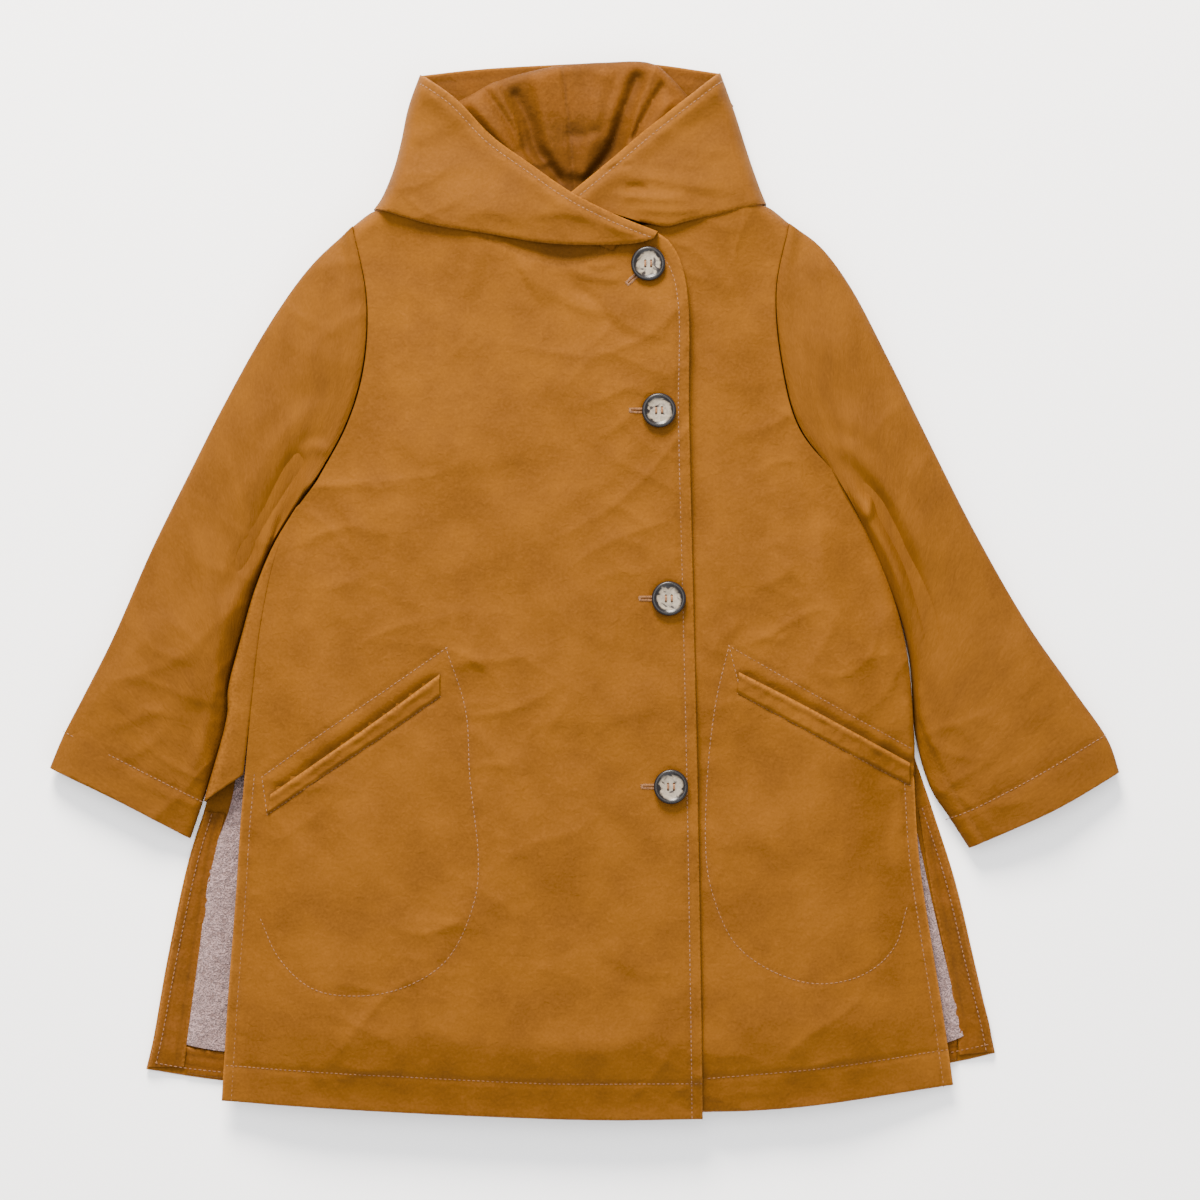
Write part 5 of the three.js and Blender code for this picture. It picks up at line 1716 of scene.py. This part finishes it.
@dataclass
class Welts:
    """The welts below the pocket mouths."""

    finishes: Finishes
    thickness: float = 1.7

    def build(self) -> None:
        """Build both welts."""
        for side, pocket in POCKETS.items():
            x, y = patch(
                spaced(np.array([pocket.lower[0], pocket.mouth[0]]), 8),
                spaced(np.array([pocket.lower[-1], pocket.mouth[-1]]), 8),
                pocket.lower, pocket.mouth, stations(16, 20, (0.4, 1.2)), stations(96, 190, (1.0, 3.0)),
            )
            surface = right_surface if side is Side.RIGHT else left_surface
            ground = surface(x, y)[0]
            flat = (BODY.right if side is Side.RIGHT else BODY.left)(x, y) + BODY.folds(
                x if side is Side.RIGHT else x + 900, y)
            dm, along, _ = nearest(x, y, pocket.mouth)
            dl = nearest(x, y, pocket.lower)[0]
            wave = PUCKER.at(along * 9.0, 3.0 + 0.0 * along)
            z = flat + self.thickness * smooth(0.0, 3.0, dl) + 1.3 * np.exp(-(((dm - 3.5) / 3.0) ** 2)) * (1 + 0.9 * wave)
            z = z + 0.7 * PUCKER.at(x / 8.0, y / 8.0) * smooth(0, 6, dl) + rounded(dm, 2.4, 2.0)
            z = np.maximum(z, ground + 0.5)
            bottom = np.maximum(ground + 0.2, z - 2.4)
            # The welt's lip is painted paler, partly rubbing and partly painted highlight; painted shade along its
            # lower seam.
            worn_and_lit = np.exp(-(((dm - 1.0) / 1.5) ** 2))
            shade = 0.3 * np.exp(-((dl / 1.6) ** 2))
            piece = sheet_object(
                f"pocket_{side.value}_welt", stack(x, y, z), stack(x, y, bottom), marks={"wear_and_highlight": worn_and_lit, "shade": shade}
            )
            dressed(piece, self.finishes.outer, "outer_cloth", [f"pocket_welt_{side.value}"])
            declare(piece, "stretched")
            start = pocket.lower[len(pocket.lower) // 2]
            end = pocket.mouth[len(pocket.mouth) // 2]
            n = np.array([end[0] - start[0], end[1] - start[1]])
            start = end - 1.0 * n
            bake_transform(piece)


@dataclass
class Buttons:
    """Four horn-look coat buttons, each with four holes and its thread, and their buttonholes."""

    finishes: Finishes
    turns: int = 72
    hole_radius: float = 1.15
    hole_spread: float = 2.7
    thread_radius: float = 0.55
    slit: tuple[float, float] = (27.0, 4.6)

    def centre(self, number: int) -> tuple[float, float, float, float, float]:
        """Centre, seat, radius and thickness of a button, in millimetres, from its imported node."""
        lo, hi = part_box(f"button_{number}")
        return (
            (lo[0] + hi[0]) / 2 / MM, (lo[1] + hi[1]) / 2 / MM, lo[2] / MM, (hi[0] - lo[0]) / 2 / MM,
            (hi[2] - lo[2]) / MM,
        )

    def profile(self, radius: float, height: float) -> Line:
        """Half section of a button: flat back, full rim and dished middle."""
        shares = [
            (0.0, 0.0), (0.62, 0.0), (0.84, 0.08), (0.955, 0.32), (1.0, 0.62), (0.985, 0.83), (0.93, 0.97), (0.86, 1.0),
            (0.79, 0.93), (0.73, 0.78), (0.67, 0.66), (0.5, 0.6), (0.25, 0.57), (0.0, 0.56),
        ]
        return np.array([(r * radius, z * height) for r, z in shares])

    def disc(self, number: int) -> bpy.types.Object:
        """Build the button's body and cut its four holes."""
        cx, cy, seat, radius, height = self.centre(number)
        line = self.profile(radius, height)
        angle = np.arange(self.turns) * 2 * math.pi / self.turns
        inner = line[1:-1]
        points = [(cx, cy, seat)]
        for r, z in inner:
            points += [(cx + r * math.cos(a), cy + r * math.sin(a), seat + z) for a in angle]
        points.append((cx, cy, seat + line[-1][1]))
        n, top = self.turns, len(points) - 1
        faces = [[0, 1 + (k + 1) % n, 1 + k] for k in range(n)]
        for j in range(len(inner) - 1):
            a, b = 1 + j * n, 1 + (j + 1) * n
            faces += [[a + k, a + (k + 1) % n, b + (k + 1) % n, b + k] for k in range(n)]
        last = 1 + (len(inner) - 1) * n
        faces += [[last + k, last + (k + 1) % n, top] for k in range(n)]
        array = np.array(points)
        piece = mesh_object(f"button_{number}_disc", array, faces, array[:, :2] * MM, {})
        cutters = []
        for sx in (-1, 1):
            for sy in (-1, 1):
                bpy.ops.mesh.primitive_cylinder_add(
                    vertices=16, radius=self.hole_radius * MM, depth=0.02,
                    location=((cx + sx * self.hole_spread) * MM, (cy + sy * self.hole_spread) * MM, seat * MM),
                )
                cutters.append(bpy.context.object)
        for cutter in cutters:
            modifier = piece.modifiers.new("hole", "BOOLEAN")
            modifier.operation, modifier.object, modifier.solver = "DIFFERENCE", cutter, "EXACT"
        settled(piece)
        for cutter in cutters:
            bpy.data.objects.remove(cutter, do_unlink=True)
        mesh = piece.data
        place = np.array([v.co for v in mesh.vertices]) / MM
        radial = np.hypot(place[:, 0] - cx, place[:, 1] - cy) / radius
        attribute = mesh.attributes.new("radial", "FLOAT", "POINT")
        attribute.data.foreach_set("value", radial.astype(np.float32))
        mesh.polygons.foreach_set("use_smooth", np.ones(len(mesh.polygons), bool))
        mesh.set_sharp_from_angle(angle=math.radians(40))
        return piece

    def threads(self, number: int) -> bpy.types.Object:
        """Build the two strands that cross from hole to hole."""
        cx, cy, seat, _, height = self.centre(number)
        points, faces = [], []
        for sx in (-1, 1):
            for strand in (-0.5, 0.5):
                first = len(points)
                steps, around = 9, 8
                for i in range(steps):
                    u = i / (steps - 1)
                    y = cy + (2 * u - 1) * (self.hole_spread + 0.25)
                    z = seat + height * 0.58 + 0.5 - 2.2 * (abs(2 * u - 1) ** 6)
                    for k in range(around):
                        a = 2 * math.pi * k / around
                        points.append((
                            cx + sx * self.hole_spread + strand * self.thread_radius * 1.7
                            + self.thread_radius * math.cos(a), y, z + self.thread_radius * math.sin(a),
                        ))
                for i in range(steps - 1):
                    for k in range(around):
                        a, b = first + i * around, first + (i + 1) * around
                        faces.append([a + k, b + k, b + (k + 1) % around, a + (k + 1) % around])
                faces.append([first + k for k in range(around)])
                faces.append([first + (steps - 1) * around + k for k in reversed(range(around))])
        array = np.array(points)
        piece = mesh_object(f"button_{number}_thread", array, faces, array[:, :2] * MM, {})
        outward(piece)
        return piece

    def hole_line(self, number: int) -> Line:
        """Middle line of a buttonhole."""
        cx, cy, *_ = self.centre(number)
        length = self.slit[0]
        way = (-0.72, -0.69) if number == 1 else (-1.0, 0.0)
        first = (cx - 2.0 * way[0], cy - 2.0 * way[1])
        return spaced(np.array([first, (cx + way[0] * length, cy + way[1] * length)]), 30)

    def build(self) -> None:
        """Build the buttons, their threads and the slits of the buttonholes."""
        for number in range(1, 5):
            piece = dressed(self.disc(number), self.finishes.horn, "horn", [f"button_{number}"])
            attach(piece, f"button_{number}")
            piece = dressed(self.threads(number), self.finishes.thread, "thread")
            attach(piece, f"button_{number}")
            line = self.hole_line(number)
            side_a, side_b = offset_line(line, 0.8), offset_line(line, -0.8)
            x, y = patch(
                spaced(np.array([side_a[0], side_b[0]]), 8), spaced(np.array([side_a[-1], side_b[-1]]), 8),
                side_a, side_b, np.linspace(0, 1, 5), np.linspace(0, 1, 25),
            )
            ground = right_surface(x, y)[0]
            # Painted shade: a thin sheet of fully shaded cloth stands for the dark opening of the buttonhole.
            piece = sheet_object(
                f"buttonhole_{number}_slit", stack(x, y, ground + 0.55), stack(x, y, ground + 0.1),
                marks={"shade": np.ones_like(x)},
            )
            dressed(piece, self.finishes.facing, "facing_cloth")
            follow(piece, Follow.FRONT_RIGHT)


def settled(piece: bpy.types.Object) -> None:
    """Turn a piece's modifiers into its mesh and remove them."""
    bpy.context.view_layer.update()
    evaluated = piece.evaluated_get(bpy.context.evaluated_depsgraph_get())
    mesh = bpy.data.meshes.new_from_object(evaluated)
    piece.modifiers.clear()
    old = piece.data
    piece.data = mesh
    name = old.name
    bpy.data.meshes.remove(old)
    mesh.name = name


def outward(piece: bpy.types.Object) -> None:
    """Turn a closed piece's faces outwards."""
    import bmesh

    work = bmesh.new()
    work.from_mesh(piece.data)
    bmesh.ops.recalc_face_normals(work, faces=work.faces)
    work.to_mesh(piece.data)
    work.free()


@dataclass
class Stitching:
    """Topstitching and buttonhole stitches, set along lines on the cloth."""

    finishes: Finishes
    pitch: float = 4.4
    length: float = 3.1
    thread: float = 0.42
    seed: int = 7

    def tree(self) -> bpy.types.NodeTree:
        """Node tree that sets stitches along edges."""
        tree = bpy.data.node_groups.new("stitch_row", "GeometryNodeTree")
        face = tree.interface
        face.new_socket("Geometry", in_out="INPUT", socket_type="NodeSocketGeometry")
        for name, value in (("Pitch", 0.0044), ("Length", 0.0031), ("Radius", 0.00042), ("Turn", 0.0)):
            face.new_socket(name, in_out="INPUT", socket_type="NodeSocketFloat").default_value = value
        face.new_socket("Seed", in_out="INPUT", socket_type="NodeSocketInt").default_value = self.seed
        face.new_socket("Thread", in_out="INPUT", socket_type="NodeSocketMaterial")
        face.new_socket("Geometry", in_out="OUTPUT", socket_type="NodeSocketGeometry")
        inputs = add(tree, "NodeGroupInput").outputs
        curve = add(tree, "GeometryNodeMeshToCurve", {"Mesh": inputs["Geometry"]})
        points = add(
            tree, "GeometryNodeCurveToPoints", {"Curve": curve.outputs["Curve"], "Length": inputs["Pitch"]},
            mode="LENGTH",
        )
        shape = add(
            tree, "GeometryNodeMeshUVSphere", {"Segments": 6, "Rings": 5, "Radius": 0.5},
        )
        size = add(
            tree, "ShaderNodeCombineXYZ", {"X": inputs["Radius"], "Y": inputs["Radius"], "Z": inputs["Length"]}
        )
        # The sphere has a radius of a half, so across it takes twice the thread's radius.
        twice = add(
            tree, "ShaderNodeVectorMath", {0: size.outputs["Vector"], 1: (2.0, 2.0, 1.0)}, operation="MULTIPLY"
        )
        change = add(
            tree, "FunctionNodeRandomValue",
            {"Min": (0.9, 0.9, 0.8), "Max": (1.1, 1.1, 1.12), "Seed": inputs["Seed"]}, data_type="FLOAT_VECTOR",
        )
        varied = add(
            tree, "ShaderNodeVectorMath", {0: twice.outputs["Vector"], 1: change.outputs[0]}, operation="MULTIPLY"
        )
        turn = add(tree, "FunctionNodeAxisAngleToRotation", {"Axis": (0.0, 0.0, 1.0), "Angle": inputs["Turn"]})
        aim = add(
            tree, "FunctionNodeAlignRotationToVector", {"Vector": points.outputs["Tangent"]}, axis="Z"
        )
        aimed = add(
            tree, "FunctionNodeRotateRotation",
            {"Rotation": aim.outputs["Rotation"], "Rotate By": turn.outputs["Rotation"]}, rotation_space="GLOBAL",
        )
        placed = add(
            tree, "GeometryNodeInstanceOnPoints",
            {
                "Points": points.outputs["Points"], "Instance": shape.outputs["Mesh"],
                "Rotation": aimed.outputs["Rotation"], "Scale": varied.outputs["Vector"],
            },
        )
        real = add(tree, "GeometryNodeRealizeInstances", {"Geometry": placed.outputs["Instances"]})
        painted = add(
            tree, "GeometryNodeSetMaterial", {"Geometry": real.outputs["Geometry"], "Material": inputs["Thread"]}
        )
        add(tree, "NodeGroupOutput", {"Geometry": painted.outputs["Geometry"]})
        return tree

    def row(
        self, name: str, lines: Sequence[Grid], how: Follow, pitch: float | None = None, turn: float = 0.0,
        length: float | None = None,
    ) -> None:
        """Set stitches along lines in space; those that follow the torso are tied to its body.

        Args:
            name: Name of the piece.
            lines: Lines in millimetres, each with three values a point.
            how: What the stitches follow.
            pitch: Distance from stitch to stitch.
            turn: Angle of each stitch to its line.
            length: Length of a stitch.
        """
        points, edges, start = [], [], 0
        for line in lines:
            points.append(line)
            edges += [(start + k, start + k + 1) for k in range(len(line) - 1)]
            start += len(line)
        mesh = bpy.data.meshes.new(name)
        mesh.from_pydata((np.concatenate(points) * MM).tolist(), edges, [])
        piece = bpy.data.objects.new(name, mesh)
        bpy.context.scene.collection.objects.link(piece)
        tree = bpy.data.node_groups.get("stitch_row") or self.tree()
        modifier = piece.modifiers.new("stitches", "NODES")
        modifier.node_group = tree
        values = {
            "Pitch": (pitch or self.pitch) * MM, "Length": (length or self.length) * MM,
            "Radius": self.thread * MM, "Turn": turn, "Seed": self.seed, "Thread": self.finishes.thread,
        }
        for item in tree.interface.items_tree:
            if item.in_out == "INPUT" and item.name in values:
                modifier[item.identifier] = values[item.name]
        settled(piece)
        piece.data.polygons.foreach_set("use_smooth", np.ones(len(piece.data.polygons), bool))
        follow(piece, how)
        LOG.info("%s: %d faces", name, len(piece.data.polygons))

    def build(self, hood: Hood, buttons: Buttons, back: Back, sleeves: dict[Side, Sleeve]) -> None:
        """Stitch every seam that shows."""
        def on(surface: Callable, line: Line, lift: float = 0.12, count: int = 0) -> Grid:
            """Lay a line on a surface."""
            flat = spaced(line[:, :2], count or len(line))
            return np.c_[flat, surface(flat[:, 0], flat[:, 1])[0] + lift]

        pocket = POCKETS[Side.RIGHT]
        lines = [HEM_STITCH_RIGHT, EDGE_STITCH, VENT_STITCH_RIGHT, pocket.upper, pocket.bag, pocket.lower]
        joint = [spaced(np.array([pocket.upper[0], pocket.lower[0]]), 10)]
        self.row("front_right_stitches", [on(right_surface, line, count=160) for line in lines + joint],
                 Follow.FRONT_RIGHT)
        pocket = POCKETS[Side.LEFT]
        lines = [HEM_STITCH_LEFT[2:], VENT_STITCH_LEFT, pocket.upper, pocket.bag, pocket.lower]
        joint = [spaced(np.array([pocket.upper[0], pocket.lower[0] + (0, 12)]), 10)]
        self.row("front_left_stitches", [on(left_surface, line, count=160) for line in lines + joint],
                 Follow.FRONT_LEFT)
        vents = [
            spline([(-400, -440), (-395, -418), (-381, -343), (-361, -250), (-349, -210)]),
            spline([(375, -428), (371, -408), (356, -348), (337, -269), (316, -204)]),
            spline([(-400, -441), (-372, -446), (-337, -450)]),
            spline([(330, -434), (376, -424)]),
        ]
        laid = []
        for line in vents:
            x, y = line[:, 0], line[:, 1]
            laid.append(np.c_[line, back.lift(x, y) + 3.1 + 2.6 + 0.1])
        self.row("back_stitches", laid, Follow.TORSO)
        for side, sleeve in sleeves.items():
            line = sleeve.seams()[0]
            x, y = line[:, 0], line[:, 1]
            self.row(f"cuff_{side.value}_stitches", [np.c_[line, sleeve_top(sleeve, x, y) + 0.15]],
                     Follow(f"sleeve_{side.value}"))
        for side in Side:
            v = hood.v_right if side is Side.RIGHT else hood.v_left
            line = offset_line(v, -hood.stitch_inset)[4:-3]
            z = hood.wing_height(side, line[:, 0], line[:, 1])[0]
            self.row(f"hood_{side.value}_stitches", [np.c_[line, z + 0.12]], Follow(side.front))
        rings = []
        for number in range(1, 5):
            line = buttons.hole_line(number)
            one, two = offset_line(line, 1.5), offset_line(line, -1.5)
            ring = np.concatenate([one, two[::-1], one[:1]])
            rings.append(np.c_[ring, right_surface(ring[:, 0], ring[:, 1])[0] + 0.45])
        self.row("buttonhole_stitches", rings, Follow.FRONT_RIGHT, pitch=0.95, turn=math.pi / 2, length=2.6)


def sleeve_top(sleeve: Sleeve, x: Grid, y: Grid) -> Grid:
    """Height of a sleeve's upper side at places on it."""
    points = sleeve.tube(0.0, 0.15, 0.0, 0.0, 1.0, sleeve.rings, sleeve.around)[0]
    half = points[:, : sleeve.around // 2 + 1].reshape(-1, 3)
    found = []
    for px, py in zip(x, y, strict=True):
        d = (half[:, 0] - px) ** 2 + (half[:, 1] - py) ** 2
        near = np.argsort(d)[:3]
        w = 1.0 / (d[near] + 0.01)
        found.append(float((half[near, 2] * w).sum() / w.sum()))
    return np.array(found)


@dataclass
class Studio:
    """Floor, soft lights and the overhead camera."""

    finishes: Finishes
    centre: tuple[float, float] = (0.0144, -0.0084)
    view_width: float = 1.116
    lens: float = 150.0
    sensor: float = 36.0
    mean_height: float = 0.03

    def floor(self) -> None:
        """Lay the floor."""
        mesh = bpy.data.meshes.new("floor")
        mesh.from_pydata([(-6, -6, 0), (6, -6, 0), (6, 6, 0), (-6, 6, 0)], [], [[0, 1, 2, 3]])
        plane = bpy.data.objects.new("floor", mesh)
        bpy.context.scene.collection.objects.link(plane)
        mesh.materials.append(self.finishes.board)

    def lamp(self, name: str, place: tuple[float, float, float], size: float, power: float, colour: str) -> None:
        """Hang one soft light, aimed at the middle of the coat."""
        light = bpy.data.lights.new(name, "AREA")
        light.shape, light.size, light.energy = "DISK", size, power
        light.color = linear(colour)[:3]
        lamp = bpy.data.objects.new(name, light)
        bpy.context.scene.collection.objects.link(lamp)
        from mathutils import Vector

        lamp.location = place
        lamp.rotation_euler = (Vector((0, 0, 0)) - Vector(place)).to_track_quat("-Z", "Y").to_euler()

    def camera(self) -> None:
        """Hang the camera straight above the coat."""
        data = bpy.data.cameras.new("overhead")
        data.lens, data.sensor_width, data.clip_end = self.lens, self.sensor, 50.0
        camera = bpy.data.objects.new("overhead", data)
        bpy.context.scene.collection.objects.link(camera)
        distance = self.view_width * self.lens / self.sensor
        camera.location = (*self.centre, distance + self.mean_height)
        bpy.context.scene.camera = camera

    def build(self) -> None:
        """Set the studio up."""
        self.camera()
        self.floor()
        self.lamp("key_from_the_hood_end", (-0.65, 3.6, 2.3), 1.9, 860.0, "#FFF8F0")
        self.lamp("fill_from_the_hem", (0.9, -2.4, 2.6), 2.6, 42.0, "#F4F8FF")
        self.lamp("soft_overhead", (-0.5, 0.6, 3.6), 2.8, 100.0, "#FFFFFF")
        world = bpy.data.worlds.new("studio")
        bpy.context.scene.world = world
        world.use_nodes = True
        background = world.node_tree.nodes["Background"]
        background.inputs["Color"].default_value = linear("#F7F8FA")
        background.inputs["Strength"].default_value = 1.45


def main() -> None:
    """Build the coat piece by piece and set up the studio."""
    logging.basicConfig(level=logging.INFO, format="%(message)s")
    finishes = Finishes.make()
    Studio(finishes).build()
    LOG.info("studio ready")
    back = Back(finishes)
    back.build()
    LOG.info("back ready")
    Fronts(finishes).build()
    LOG.info("fronts ready")
    sleeves = {side: Sleeve(finishes, side) for side in Side}
    for sleeve in sleeves.values():
        sleeve.build()
    LOG.info("sleeves ready")
    hood = Hood(finishes)
    hood.build()
    LOG.info("hood ready")
    Welts(finishes).build()
    buttons = Buttons(finishes)
    buttons.build()
    LOG.info("welts and buttons ready")
    Stitching(finishes).build(hood, buttons, back, sleeves)
    for name in ("button_shank_1", "button_shank_2", "button_shank_3", "button_shank_4", "hanger_loop"):
        node = frame["nodes"][name]
        node.material_slots[0].material = finishes.thread


if __name__ == "__main__":
    main()
